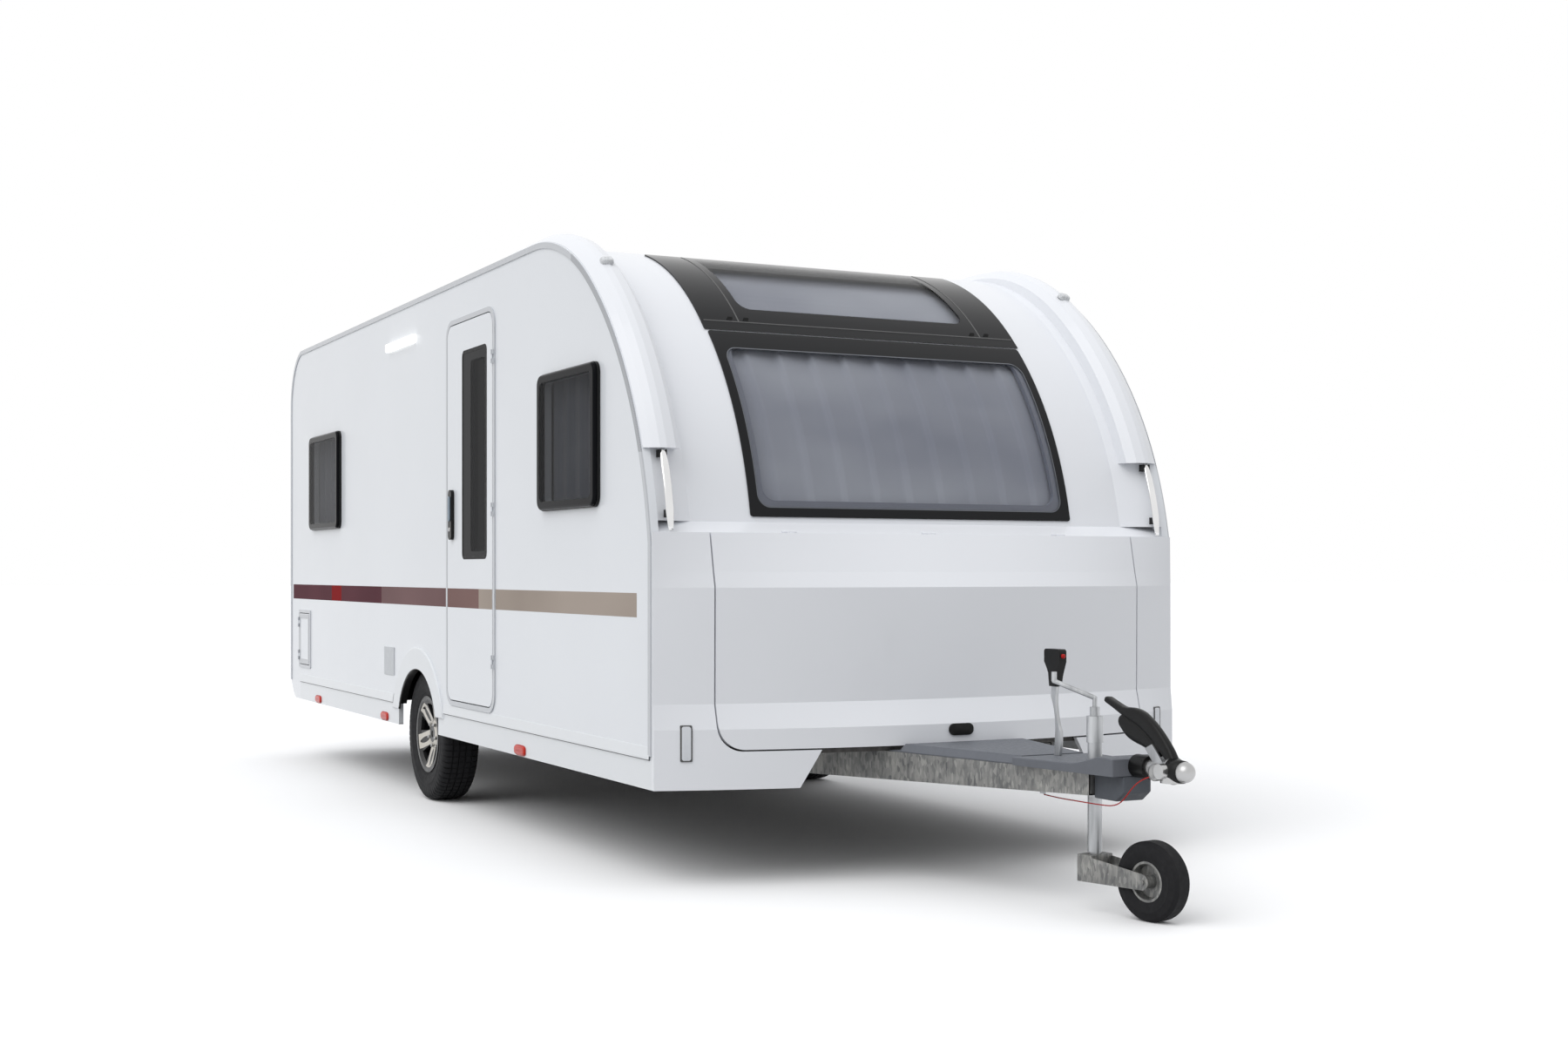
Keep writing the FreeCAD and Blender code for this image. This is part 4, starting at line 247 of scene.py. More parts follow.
def white_paint(name, colour, waviness):
    finish = new_finish(name, colour, 0.3)
    tune(finish, {"Specular IOR Level": 0.3, "Coat Weight": 0.25, "Coat Roughness": 0.08})
    dull = tuple(share * DULL_SHARE for share in colour)
    vary_colour(finish, noise_of(finish, 0.9, 3.0), [(0.35, dull), (0.65, colour)])
    vary_roughness(finish, noise_of(finish, 7.0, 3.0), 0.29, 0.33)
    bump_from(finish, noise_of(finish, 2.2, 1.0), waviness, 0.01)
    return finish


sheet_white = white_paint("white_sheet", tone(229, 232, 236), 0.035)
moulding_white = white_paint("white_moulding", tone(233, 235, 239), 0.02)
trim_white = white_paint("pale_trim", tone(196, 199, 203), 0.02)
sill_white = white_paint("sill_plastic", tone(226, 229, 232), 0.02)
print("whites", [finish.name for finish in (sheet_white, moulding_white, trim_white, sill_white)])

# %% [markdown]
# The seals, frames and levers are black plastic with a moulded grain. The tyres are duller and a
# shade paler, and the drawbar's cover is grey plastic with a coarser grain. They differ only in
# colour, roughness and grain, so one function makes them all.

# %% Plastics and rubber
DARK_DRIFT = 1.25
PALE_DRIFT = 1.06


def grained_plastic(name, colour, roughness, grain=900, depth=0.0004):
    finish = new_finish(name, colour, roughness)
    drift = DARK_DRIFT if max(colour) < 0.1 else PALE_DRIFT
    bright = tuple(min(1.0, share * drift) for share in colour)
    vary_colour(finish, noise_of(finish, 35), [(0.35, colour), (0.75, bright)])
    vary_roughness(finish, noise_of(finish, 60), roughness - 0.06, roughness + 0.08)
    bump_from(finish, noise_of(finish, grain, 2.0), 0.2, depth)
    tune(finish, {"Specular IOR Level": 0.22})
    return finish


black_plastic = grained_plastic("black_plastic", grey(15), 0.34)
seal_rubber = grained_plastic("seal_rubber", grey(30), 0.6)
tyre_rubber = grained_plastic("tyre_rubber", tone(26, 26, 28), 0.7, 700, 0.0005)
cover_plastic = grained_plastic("cover_plastic", tone(104, 107, 113), 0.5, 800, 0.0005)
vent_plastic = grained_plastic("vent_plastic", tone(200, 203, 206), 0.5)
hatch_plastic = grained_plastic("hatch_plastic", tone(214, 216, 218), 0.35)
button_red = grained_plastic("button_red", tone(170, 26, 24), 0.4)
handle_grey = grained_plastic("handle_grey", tone(120, 136, 150), 0.35)
housing_paint = grained_plastic("housing_paint", tone(86, 90, 96), 0.5)
print("finishes so far", len(bpy.data.materials))

# %% [markdown]
# Hot-dip zinc is a patchwork of dull and bright crystals. Noise alone would look like dirt, so
# cells of a Voronoi pattern make the crystals, a slow noise adds the cloudy streaks of a dipped
# rail, and the grey follows a blend of the two. The levers and the jockey wheel's tubes are
# plated, and the upright streaks in their colour are painted highlights, for the gleam that runs
# along a round tube.

# %% Zinc
zinc_steel = new_finish("zinc_steel", grey(150), 0.45, 0.7)
cells = add_node(zinc_steel, "ShaderNodeTexVoronoi")
cells.inputs["Scale"].default_value = 120
link(zinc_steel, stretched_place(zinc_steel, (1, 1, 0.35)), cells.inputs["Vector"])
blend = add_node(zinc_steel, "ShaderNodeMix", data_type="FLOAT")
blend.inputs["Factor"].default_value = 0.6
link(zinc_steel, cells.outputs["Color"], blend.inputs["A"])
link(zinc_steel, noise_of(zinc_steel, 11, 6.0), blend.inputs["B"])
vary_colour(zinc_steel, blend.outputs["Result"],
            [(0.25, tone(98, 99, 100)), (0.5, tone(136, 136, 134)),
             (0.8, tone(172, 171, 166))])
vary_roughness(zinc_steel, noise_of(zinc_steel, 20), 0.4, 0.6)

# The upright streaks in this colour are painted highlights, for the gleam along round tubes.
plated_steel_with_highlights = new_finish("plated_steel_with_highlights", tone(190, 192, 194), 0.3, 0.8)
vary_colour(plated_steel_with_highlights, noise_of(plated_steel_with_highlights, 30, 3.0, (1, 1, 0.15)),
            [(0.3, tone(158, 160, 162)), (0.7, tone(204, 206, 208))])
vary_roughness(plated_steel_with_highlights, noise_of(plated_steel_with_highlights, 14), 0.28, 0.4)
print("coated steels", zinc_steel.name, plated_steel_with_highlights.name)

# %% [markdown]
# Chrome and plain steel parts reflect the white studio, so their roughness carries the look. One
# function serves them all: a wide range of roughness gives turned steel its cloudy sheen, and a
# low, narrow one gives chrome an almost clear mirror.


# %% Bright metals
def bare_metal(name, colour, low, high):
    finish = new_finish(name, colour, low, 1.0)
    vary_roughness(finish, noise_of(finish, 9, 2.0), low, high)
    vary_colour(finish, noise_of(finish, 7, 2.0),
                [(0.3, tuple(share * 0.92 for share in colour)), (0.7, colour)])
    return finish


bright_steel = bare_metal("bright_steel", grey(190), 0.2, 0.38)
bolt_steel = bare_metal("bolt_steel", grey(165), 0.3, 0.5)
chrome = bare_metal("chrome", grey(232), 0.1, 0.16)
print("bare metals", bright_steel.name, bolt_steel.name, chrome.name)

# %% [markdown]
# Some finishes need sums, such as the distance from the axle. Math nodes joined one by one would
# do it, but they hide the formula. A Value is a number that the shader works out for each place.
# It takes part in sums like any other, and each step becomes one Math node.


# %% Sums in the shader
class Value:
    """A socket that can be added, multiplied and compared like a number."""

    def __init__(self, owner, socket):
        self.owner = owner
        self.socket = socket

    def node(self, operation, first, second=0):
        step = add_node(self.owner, "ShaderNodeMath", operation=operation)
        for entry, value in zip(step.inputs, (first, second)):
            if isinstance(value, Value):
                link(self.owner, value, entry)
            else:
                entry.default_value = value
        return Value(self.owner, step.outputs["Value"])

    def __add__(self, other):
        return self.node("ADD", self, other)

    def __sub__(self, other):
        return self.node("SUBTRACT", self, other)

    def __rsub__(self, other):
        return self.node("SUBTRACT", other, self)

    def __mul__(self, other):
        return self.node("MULTIPLY", self, other)

    def __truediv__(self, other):
        return self.node("DIVIDE", self, other)

    def __mod__(self, other):
        return self.node("MODULO", self, other)

    def __abs__(self):
        return self.node("ABSOLUTE", self)

    def at_least(self, other):
        return self.node("MAXIMUM", self, other)

    def clamped(self, top=1):
        """Held between 0 and the top."""
        return self.node("MINIMUM", self.at_least(0), top)


def split_place(owner, kind="Object"):
    """Coordinates as X, Y and Z, each a Value."""
    place = add_node(owner, "ShaderNodeTexCoord")
    split = add_node(owner, "ShaderNodeSeparateXYZ")
    link(owner, place.outputs[kind], split.inputs["Vector"])
    return {axis: Value(owner, split.outputs[axis]) for axis in "XYZ"}


print("sums are made of Math nodes")

# %% [markdown]
# A mask is a share from 0 to 1, such as whether a place is inside a rounded rectangle. It could
# be a painted picture, but a distance that is turned into a share stays sharp at any size. A
# second colour is laid over a finish by such a share.


# %% Masks
def highest(values):
    """The highest of several Values."""
    top = values[0]
    for value in values[1:]:
        top = top.at_least(value)
    return top


def length_of(first, second):
    """The length of a slope with these two sides."""
    squares = first * first + second * second
    return squares.node("SQRT", squares)


def wave_of(value):
    return value.node("SINE", value)


def outside_of(across, along, rectangle, corner):
    """Distance of a place outside a rounded rectangle, negative within it."""
    low_a, low_b, high_a, high_b = rectangle
    over_a = abs(across - (low_a + high_a) / 2) - ((high_a - low_a) / 2 - corner)
    over_b = abs(along - (low_b + high_b) / 2) - ((high_b - low_b) / 2 - corner)
    return length_of(over_a.at_least(0), over_b.at_least(0)) - corner


def clear_of(distance, soft=0.004):
    """1 where the distance is negative, 0 where it is positive."""
    return (distance * (-1 / soft) + 0.5).clamped()


def lay_over(finish, share, colour):
    """Blend a second colour over the finish's own, by a share from 0 to 1."""
    socket = shader_of(finish).inputs["Base Color"]
    mix = add_node(finish, "ShaderNodeMix", data_type="RGBA")
    mix.inputs["A"].default_value = socket.default_value
    mix.inputs["B"].default_value = (*colour, 1)
    if socket.links:
        link(finish, socket.links[0].from_socket, mix.inputs["A"])
    link(finish, share, mix.inputs["Factor"])
    link(finish, mix.outputs["Result"], socket)


print("masks ready")

# %% [markdown]
# The windows are tinted acrylic with a black border printed on its inside. The border could be a
# second mesh behind the pane, but on a curved pane it would have to follow the curve closely. One
# material does both: the distance from a rounded rectangle decides where the sheet is black and
# where it lets the blind show.

# %% Tinted sheet
PANE_BLACK = tone(16, 17, 20)
PANE_LINE = tone(112, 115, 121)
LINE_SOFT = 0.002
FADE_MOST = 0.93


def tinted_window(name, lights, corner, axes, clearness, shine, line=0.0, fade=None):
    """Black sheet that is clear within each light, a rectangle on the two named axes.

    A fade is two places along the second axis between which the clear part darkens."""
    finish = new_finish(name, PANE_BLACK, 0.05)
    tune(finish, {"Specular IOR Level": shine})
    place = split_place(finish)
    across, along = (place[axis] for axis in axes)
    distances = [outside_of(across, along, light, corner) for light in lights]
    clear = highest([clear_of(distance) for distance in distances])
    if fade:
        darker = ((along - fade[0]) / (fade[1] - fade[0])).clamped(FADE_MOST)
        clear = clear * (1 - darker)
    alpha = 1 - clear * clearness
    if line:
        on_line = clear_of(abs(distances[0]) - line, LINE_SOFT)
        alpha = alpha.at_least(on_line)
        lay_over(finish, on_line, PANE_LINE)
    link(finish, alpha, shader_of(finish).inputs["Alpha"])
    return finish


print("clear parts fade by up to", FADE_MOST)

# %% [markdown]
# Each window gets its own clear part, read from the corners of its node. The side windows share
# one material, because both sides mirror each other. The front window has a thin grey line round
# its clear part, and the roof window darkens towards its rear edge.

# %% Window panes
SIDE_BORDER = 0.034
WINDOW_BORDER = 0.037
FRONT_TOP_BORDER = 0.072


def side_lights():
    """The clear part of each side window, as rectangles on Y and Z."""
    ends = {}
    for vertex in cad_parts["side_window_panes"].data.vertices:
        ends.setdefault(vertex.co.y < AXLE.y, []).append((vertex.co.y, vertex.co.z))
    lights = []
    for points in ends.values():
        backs, heights = zip(*points)
        lights.append((min(backs) + SIDE_BORDER, min(heights) + SIDE_BORDER,
                       max(backs) - SIDE_BORDER, max(heights) - SIDE_BORDER))
    return lights


FRONT_LOW, FRONT_HIGH = corners_of("front_window")
SKY_LOW, SKY_HIGH = corners_of("sky_window")
DOOR_PANE_LOW, DOOR_PANE_HIGH = corners_of("door_window")
SKY_LIGHT = (-0.525, SKY_LOW.y + 0.105, 0.525, SKY_HIGH.y - 0.035)
side_acrylic = tinted_window("side_acrylic", side_lights(), 0.03, ("Y", "Z"), 0.58, 0.04)
front_acrylic = tinted_window(
    "front_acrylic",
    [(FRONT_LOW.x + WINDOW_BORDER, FRONT_LOW.z + WINDOW_BORDER,
      FRONT_HIGH.x - WINDOW_BORDER, FRONT_HIGH.z - FRONT_TOP_BORDER)],
    0.05, ("X", "Z"), 0.88, 0.2, line=0.002)
sky_acrylic = tinted_window("sky_acrylic", [SKY_LIGHT], 0.05, ("X", "Y"), 0.88, 0.18,
                            fade=(SKY_HIGH.y - 0.24, SKY_HIGH.y - 0.05))
door_acrylic = tinted_window(
    "door_acrylic",
    [(DOOR_PANE_LOW.y + 0.02, DOOR_PANE_LOW.z + 0.03,
      DOOR_PANE_HIGH.y - 0.12, DOOR_PANE_HIGH.z - 0.05)],
    0.02, ("Y", "Z"), 0.45, 0.03)
print("clear parts of the side windows", len(side_lights()))

# %% [markdown]
# Some finishes carry a second colour in one place. Inside the wheel arch the white turns into the
# black of the liner. Where the front window's sheet lies on the panel, the panel is painted the
# grey-blue of the blind in shade: painted shade, standing in for the shaded blind behind the
# sheet. The rails round the side walls are grey where they pass the brow, with fine cross ribs.
# Each could be a piece of its own, but a mask needs no seam and can't stand off the surface.

# %% Finishes with two colours
ARCH_CENTRE_HIGH = 0.300
ARCH_LINER_REACH = 0.349
LINER_BLACK = grey(14)
LINER_SOFT = 0.002
# Painted shade: the blind's colour as it looks in shade, laid on the panel under the front window.
SHADED_BLIND_TONE = tone(128, 132, 144)
RIB_FOOT = 1.56
RIB_BACK = NOSE_SEAM + 0.80
RIB_TURNS = 520
RIB_SHARE, RIB_SWING = 0.6, 0.3
RIB_GREY = tone(138, 141, 146)


def darken_arch(finish):
    place = split_place(finish)
    reach = length_of(place["Y"] - AXLE.y, place["Z"] - ARCH_CENTRE_HIGH)
    lay_over(finish, clear_of(reach - ARCH_LINER_REACH, LINER_SOFT), LINER_BLACK)


def rib_brow(finish):
    place = split_place(finish)
    ribs = wave_of((place["Z"] + place["Y"]) * RIB_TURNS) * RIB_SWING + RIB_SHARE
    on_brow = clear_of(RIB_FOOT - place["Z"]) * clear_of(place["Y"] - RIB_BACK)
    lay_over(finish, ribs * on_brow, RIB_GREY)


for finish in (sheet_white, sill_white):
    darken_arch(finish)

panel_white = white_paint("white_panel", tone(233, 235, 239), 0.02)
panel_place = split_place(panel_white)
shaded_blind_area = outside_of(panel_place["X"], panel_place["Z"],
                        (FRONT_LOW.x + 0.01, FRONT_LOW.z + 0.01, FRONT_HIGH.x - 0.01,
                         SKY_LOW.z - 0.02), 0.03)
# Painted shade: the panel under the front window's sheet takes the colour of the blind in shade.
lay_over(panel_white, clear_of(shaded_blind_area), SHADED_BLIND_TONE)
ribbed_rail = white_paint("ribbed_rail", tone(196, 199, 203), 0.0)
rib_brow(ribbed_rail)
print("finishes so far", len(bpy.data.materials))

# %% [markdown]
# Lamp lenses are deep coloured plastic with a fine moulded pattern, and the awning lamp is on.
# The clear reflectors have ribs and a dark line round them. A lens could be a clear shell over a
# mirror, but a coated colour with a fine bump looks the same from a step away and renders without
# noise. The blinds are pleated cloth. The cabin's floor is board, in a dark grey that is partly
# painted shade, for the shade under the front lid where the floor's edge shows.


# %% Lenses and cloth
def lens(name, colour, glow=0.0):
    finish = new_finish(name, colour, 0.14)
    tune(finish, {"Coat Weight": 0.08, "Specular IOR Level": 0.2,
                  "Emission Color": (*colour, 1), "Emission Strength": glow})
    vary_colour(finish, noise_of(finish, 160, 2.0),
                [(0.35, tuple(share * 0.7 for share in colour)), (0.65, colour)])
    bump_from(finish, noise_of(finish, 320, 1.0), 0.3, 0.0006)
    return finish


red_lens = lens("red_lens", tone(200, 46, 28), 0.08)
amber_lens = lens("amber_lens", tone(226, 120, 26))
clear_lens = lens("clear_lens", tone(224, 226, 228))
lit_lens = lens("lit_lens", tone(250, 250, 248), 0.9)

REFLECTOR_LOW, REFLECTOR_HIGH = corners_of("front_reflectors")
REFLECTOR_WIDTH = 0.04
FRAME_LINE = 0.0045
LENS_RIB_TURNS = 1400


def framed_reflector():
    """A clear ribbed lens with a dark line round it, for both front corners."""
    finish = new_finish("framed_reflector", tone(214, 217, 222), 0.18)
    place = split_place(finish)
    aside = abs(place["X"])
    bump_from(finish, wave_of(aside * LENS_RIB_TURNS), 0.4, 0.0006)
    light = (REFLECTOR_HIGH.x - REFLECTOR_WIDTH + FRAME_LINE, REFLECTOR_LOW.z + FRAME_LINE,
             REFLECTOR_HIGH.x - FRAME_LINE, REFLECTOR_HIGH.z - FRAME_LINE)
    distance = outside_of(aside, place["Z"], light, 0.008)
    lay_over(finish, 1 - clear_of(distance, 0.0015), grey(70))
    return finish


reflector = framed_reflector()
blind_cloth = new_finish("blind_cloth", tone(168, 172, 184), 0.85)
tune(blind_cloth, {"Sheen Weight": 0.3})
vary_colour(blind_cloth, noise_of(blind_cloth, 3.0, 2.0, (0.4, 0.4, 1)),
            [(0.3, tone(150, 154, 167)), (0.7, tone(178, 182, 192))])
bump_from(blind_cloth, noise_of(blind_cloth, 900, 2.0), 0.2, 0.0003)

# Partly painted shade: the board is kept dark grey for the shade under the front lid.
shaded_board = new_finish("floor_board", tone(92, 90, 88), 0.7)
vary_colour(shaded_board, noise_of(shaded_board, 6, 4.0, (8, 1, 1)),
            [(0.3, tone(66, 64, 62)), (0.7, tone(92, 90, 88))])
bump_from(shaded_board, noise_of(shaded_board, 60, 4.0, (8, 1, 1)), 0.2, 0.0006)
print("finishes so far", len(bpy.data.materials))

# %% [markdown]
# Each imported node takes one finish. That could be a line of code for each node, but a table shows
# at a glance what every piece is made of. The road wheels' rims get theirs further down.


# %% Dress the nodes
def dress(node_name, finish):
    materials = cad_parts[node_name].data.materials
    materials.clear()
    materials.append(finish)


FINISH_OF_NODE = {
    sheet_white: ["side_wall_right", "side_wall_left", "roof", "entrance_door", "service_door"],
    panel_white: ["front_panel"],
    moulding_white: ["front_apron", "front_lid", "rear_wall", "rear_bumper"],
    sill_white: ["skirts", "wheel_arch_trims"],
    trim_white: ["door_frame", "service_door_frame"],
    ribbed_rail: ["awning_rails"],
    hatch_plastic: ["roof_hatches"],
    shaded_board: ["floor", "locker_bulkhead"],
    black_plastic: ["side_window_frames", "wheel_boxes", "coupling_handle", "door_handle",
                    "lid_lock", "grab_spacers", "handbrake_grip", "drawbar_bellows"],
    side_acrylic: ["side_window_panes"],
    front_acrylic: ["front_window"],
    sky_acrylic: ["sky_window"],
    door_acrylic: ["door_window"],
    cover_plastic: ["drawbar_cover"],
    vent_plastic: ["wall_vents"],
    lit_lens: ["awning_lamp"],
    reflector: ["front_reflectors"],
    red_lens: ["side_markers", "rear_lamps"],
    blind_cloth: ["curtains"],
    plated_steel_with_highlights: ["handbrake_lever", "jockey_tube", "jockey_leg", "jockey_crank"],
    chrome: ["grab_handles"],
    zinc_steel: ["drawbar_frame", "chassis_rails", "axle",
                 "jockey_fork", "jockey_rim", "steady_front_right", "steady_front_left",
                 "steady_rear_right", "steady_rear_left"],
    housing_paint: ["overrun_housing"],
    bright_steel: ["coupling_head"],
    tyre_rubber: ["tyre_right", "tyre_left", "jockey_tyre"],
}
for finish, names in FINISH_OF_NODE.items():
    for name in names:
        dress(name, finish)
dressed = sum(len(names) for names in FINISH_OF_NODE.values())
print("dressed", dressed, "of", len(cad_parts), "nodes")

# %% [markdown]
# Moulded and pressed pieces have no knife edges. The rounding could be cut into each mesh, but a
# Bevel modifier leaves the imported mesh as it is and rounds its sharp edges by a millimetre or
# more. Weld first joins the corners that the mesh holds apart.

# %% Soft edges
EDGE_RADII = {
    "wall_vents": 0.002, "awning_lamp": 0.005, "drawbar_cover": 0.004, "overrun_housing": 0.006,
    "handbrake_grip": 0.005, "handbrake_lever": 0.002, "front_reflectors": 0.001,
    "lid_lock": 0.0015, "door_handle": 0.003, "rear_lamps": 0.004, "grab_spacers": 0.003,
}
MERGE_WITHIN = 0.00005
SHARP_ANGLE = math.radians(35)
for name, radius in EDGE_RADII.items():
    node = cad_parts[name]
    weld = node.modifiers.new("join_corners", "WELD")
    weld.merge_threshold = MERGE_WITHIN
    soft = node.modifiers.new("soft_edges", "BEVEL")
    soft.width = radius
    soft.segments = 3
    soft.limit_method = "ANGLE"
    soft.angle_limit = SHARP_ANGLE
    soft.use_clamp_overlap = True
print("softened", len(EDGE_RADII), "nodes")

# %% [markdown]
# New pieces are meshes from plain lists of points. They could be modelled by hand and saved, but
# points that are worked out can follow the caravan's sizes. The simplest piece is a flat outline
# made solid.


# %% Pieces and plates
def new_piece(name, vertices, faces, finish, body, slot, smooth=False):
    mesh = bpy.data.meshes.new(name)
    mesh.from_pydata([tuple(vertex) for vertex in vertices], [], faces)
    mesh.validate()
    tidy = bmesh.new()
    tidy.from_mesh(mesh)
    bmesh.ops.recalc_face_normals(tidy, faces=tidy.faces)
    tidy.to_mesh(mesh)
    tidy.free()
    for face in mesh.polygons:
        face.use_smooth = smooth
    mesh.materials.append(finish)
    piece = into_scene(name, mesh)
    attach(piece, body)
    return piece


def plate_of(outline, normal, thick):
    """A flat outline made solid along a normal."""
    count = len(outline)
    lift = Vector(normal) * thick
    vertices = [Vector(point) for point in outline]
    vertices += [point + lift for point in vertices]
    faces = [tuple(range(count)), tuple(range(count, 2 * count))]
    for step in range(count):
        following = (step + 1) % count
        faces.append((step, following, count + following, count + step))
    return vertices, faces


# %% [markdown]
# A piece on a curved or sunken surface has to touch it. Its place could be measured once and
# typed in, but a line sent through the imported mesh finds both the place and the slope, and finds
# them again when a size changes.


# %% Places on a surface
def surface_of(node_name):
    """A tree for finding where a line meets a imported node."""
    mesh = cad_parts[node_name].data
    return BVHTree.FromPolygons([vertex.co.copy() for vertex in mesh.vertices],
                                [tuple(face.vertices) for face in mesh.polygons])


def face_at(node_name, along, up):
    """Where a door's leaf faces outwards, clear of its hinges."""
    start = Vector((DOOR_FACE - 0.15, along, up))
    return surface_of(node_name).ray_cast(start, Vector((1, 0, 0)))[0].x


def met_from_front(surfaces, across, height):
    """Place and normal where a line from the front first meets one of the surfaces."""
    start = Vector((across, NOSE_SEAM - 1.0, height))
    hits = [surface.ray_cast(start, REARWARD)[:2] for surface in surfaces]
    return min((hit for hit in hits if hit[0] is not None), key=lambda hit: hit[0].y,
               default=None)


door_leaf_face = face_at("entrance_door", 0.0, 0.8)
print("door leaf at", round(door_leaf_face, 4))

# %% [markdown]
# A band of adhesive film runs along both sides below the windows, in fading earth colours. It
# could be a mask in the wall's finish. Real film is a separate thin layer with a sheen of its
# own, so each colour is its own thin plate, cut where the door is.

# %% Side stripes
STRIPE_LOW, STRIPE_HIGH = 0.963, 1.051
FILM = 0.0004
STRIPE_COLOURS = {
    "plum": (tone(96, 54, 62), tone(84, 46, 54)),
    "signal": (tone(140, 8, 12), tone(128, 6, 10)),
    "mauve": (tone(126, 100, 100), tone(110, 86, 86)),
    "taupe": (tone(134, 108, 104), tone(124, 98, 94)),
    "sand": (tone(174, 162, 152), tone(158, 146, 136)),
}
STRIPE_SPANS = {
    "plum_rear": ("plum", 5.70, 4.713, "wall"),
    "signal": ("signal", 4.713, 4.488, "wall"),
    "plum_front": ("plum", 4.488, 3.63, "wall"),
    "mauve": ("mauve", 3.63, 2.464, "wall"),
    "taupe": ("taupe", 2.433, 1.963, "door"),
    "sand_door": ("sand", 1.963, 1.773, "door"),
    "sand": ("sand", 1.742, 0.137, "wall"),
}
FAR_SPANS = {
    "plum_rear": ("plum", 5.70, 4.713), "signal": ("signal", 4.713, 4.488),
    "plum_front": ("plum", 4.488, 3.63), "mauve": ("mauve", 3.63, 2.416),
    "taupe": ("taupe", 2.416, 1.963), "sand": ("sand", 1.963, 0.137),
}


def film(name, tones):
    finish = new_finish(name, tones[0], 0.5)
    vary_colour(finish, noise_of(finish, 1.2, 2.0), [(0.35, tones[1]), (0.65, tones[0])])
    tune(finish, {"Specular IOR Level": 0.015})
    bump_from(finish, noise_of(finish, 300, 2.0), 0.05, 0.0002)
    return finish


films = {name: film(f"{name}_film", tones) for name, tones in STRIPE_COLOURS.items()}


def stripe(name, colour, back, front, face, outward, body):
    outline = [(face, NOSE_SEAM + front, STRIPE_LOW), (face, NOSE_SEAM + back, STRIPE_LOW),
               (face, NOSE_SEAM + back, STRIPE_HIGH), (face, NOSE_SEAM + front, STRIPE_HIGH)]
    new_piece(name, *plate_of(outline, (outward, 0, 0), FILM), films[colour], body, "gloss_white")


for name, (colour, back, front, carrier) in STRIPE_SPANS.items():
    face, body = (DOOR_FACE, "caravan") if carrier == "wall" else (door_leaf_face, "door")
    stripe(f"stripe_{name}", colour, back, front, face, -1, body)
for name, (colour, back, front) in FAR_SPANS.items():
    stripe(f"far_stripe_{name}", colour, back, front, FAR_FACE, 1, "caravan")
print("stripes", len(STRIPE_SPANS) + len(FAR_SPANS))

# %% [markdown]
# Cloth, tyres and bars are all surfaces that can be drawn as rows of points with the same number
# in each. One helper joins any such rows into faces, so a shape only has to say where its points
# are.


# %% Rows of points
def between(low, high, steps):
    """Evenly spaced values from low to high."""
    return [low + (high - low) * step / steps for step in range(steps + 1)]


def sheet_of(rows, closed=False):
    """Vertices and faces of a grid, whose rows may close on themselves."""
    width = len(rows[0])
    vertices = [point for row in rows for point in row]
    faces = []
    for line in range(len(rows) - 1):
        for step in range(width if closed else width - 1):
            following = (step + 1) % width
            faces.append((line * width + step, line * width + following,
                          (line + 1) * width + following, (line + 1) * width + step))
    return vertices, faces


print("from 0 to 1 in four steps", between(0, 1, 4))

# %% [markdown]
# A pleat is a broad slope and then a short way back under the next pleat. A sine would give even
# waves instead, like corrugated sheet. The length along a row, folds and all, is the width of the
# flat cloth.

# %% Folds
FOLD_PITCH = 0.145
FOLD_STEPS = 12
FOLD_TURN = 0.9


def fold(distance):
    """A pleat from -1 to 1: a broad slope, then a short way back under the next pleat."""
    share = distance / FOLD_PITCH % 1.0
    if share < FOLD_TURN:
        slope = share / FOLD_TURN
        return 2 * slope - 1 + 0.25 * math.sin(math.pi * slope)
    return 1 - 2 * (share - FOLD_TURN) / (1 - FOLD_TURN)


def fold_steps(width):
    """Steps that are short enough to draw the folds over a width."""
    return max(2, round(width / FOLD_PITCH * FOLD_STEPS))


def row_length(row):
    """Length along a row of points, folds and all."""
    return sum((second - first).length for first, second in zip(row, row[1:]))


print("folds across a metre", round(1 / FOLD_PITCH, 1))

# %% [markdown]
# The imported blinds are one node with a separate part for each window. Typed boxes could name the
# parts, but walking from corner to corner along the edges finds them, wherever they are.


# %% Packed blinds
def blind_parts():
    """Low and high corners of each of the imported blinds."""
    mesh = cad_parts["curtains"].data
    work = bmesh.new()
    work.from_mesh(mesh)
    bmesh.ops.remove_doubles(work, verts=work.verts, dist=0.0001)
    seen = set()
    parts = []
    for start in work.verts:
        if start in seen:
            continue
        group, wait = [], [start]
        seen.add(start)
        while wait:
            vertex = wait.pop()
            group.append(vertex.co.copy())
            for edge in vertex.link_edges:
                other = edge.other_vert(vertex)
                if other not in seen:
                    seen.add(other)
                    wait.append(other)
        parts.append((Vector(min(point[axis] for point in group) for axis in range(3)),
                      Vector(max(point[axis] for point in group) for axis in range(3))))
    work.free()
    return parts


print("packed blinds", len(blind_parts()))

# %% [markdown]
# Pleated blinds hang behind the front window and the four side windows. A cloth simulation could
# drape them, but they hang still behind tinted sheet, where only their folds show. So each is one
# sheet whose rows swing to and fro in soft folds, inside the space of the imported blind.

# %% Pleated blinds
front_surface = surface_of("front_window")
EDGE_IN = 0.004
THIN_BLIND = 0.2
SIDE_ROWS = 12
FRONT_ROWS = 26
FRONT_FOLD = 0.0075
FRONT_BLIND_HALF = 0.735
FRONT_BLIND_BEHIND = 0.0305


def hang_blind(name, rows):
    piece = new_piece(name, *sheet_of(rows), blind_cloth, "caravan", "curtain_cloth", True)
    width = row_length(rows[len(rows) // 2])
    length = row_length([row[len(row) // 2] for row in rows])
    return piece


def side_blind_rows(low, high):
    middle = (low.x + high.x) / 2
    swing = (high.x - low.x) / 2 - 0.001
    backs = between(low.y + EDGE_IN, high.y - EDGE_IN, fold_steps(high.y - low.y))
    return [[Vector((middle + swing * fold(back), back, height)) for back in backs]
            for height in between(low.z + EDGE_IN, high.z - EDGE_IN, SIDE_ROWS)]


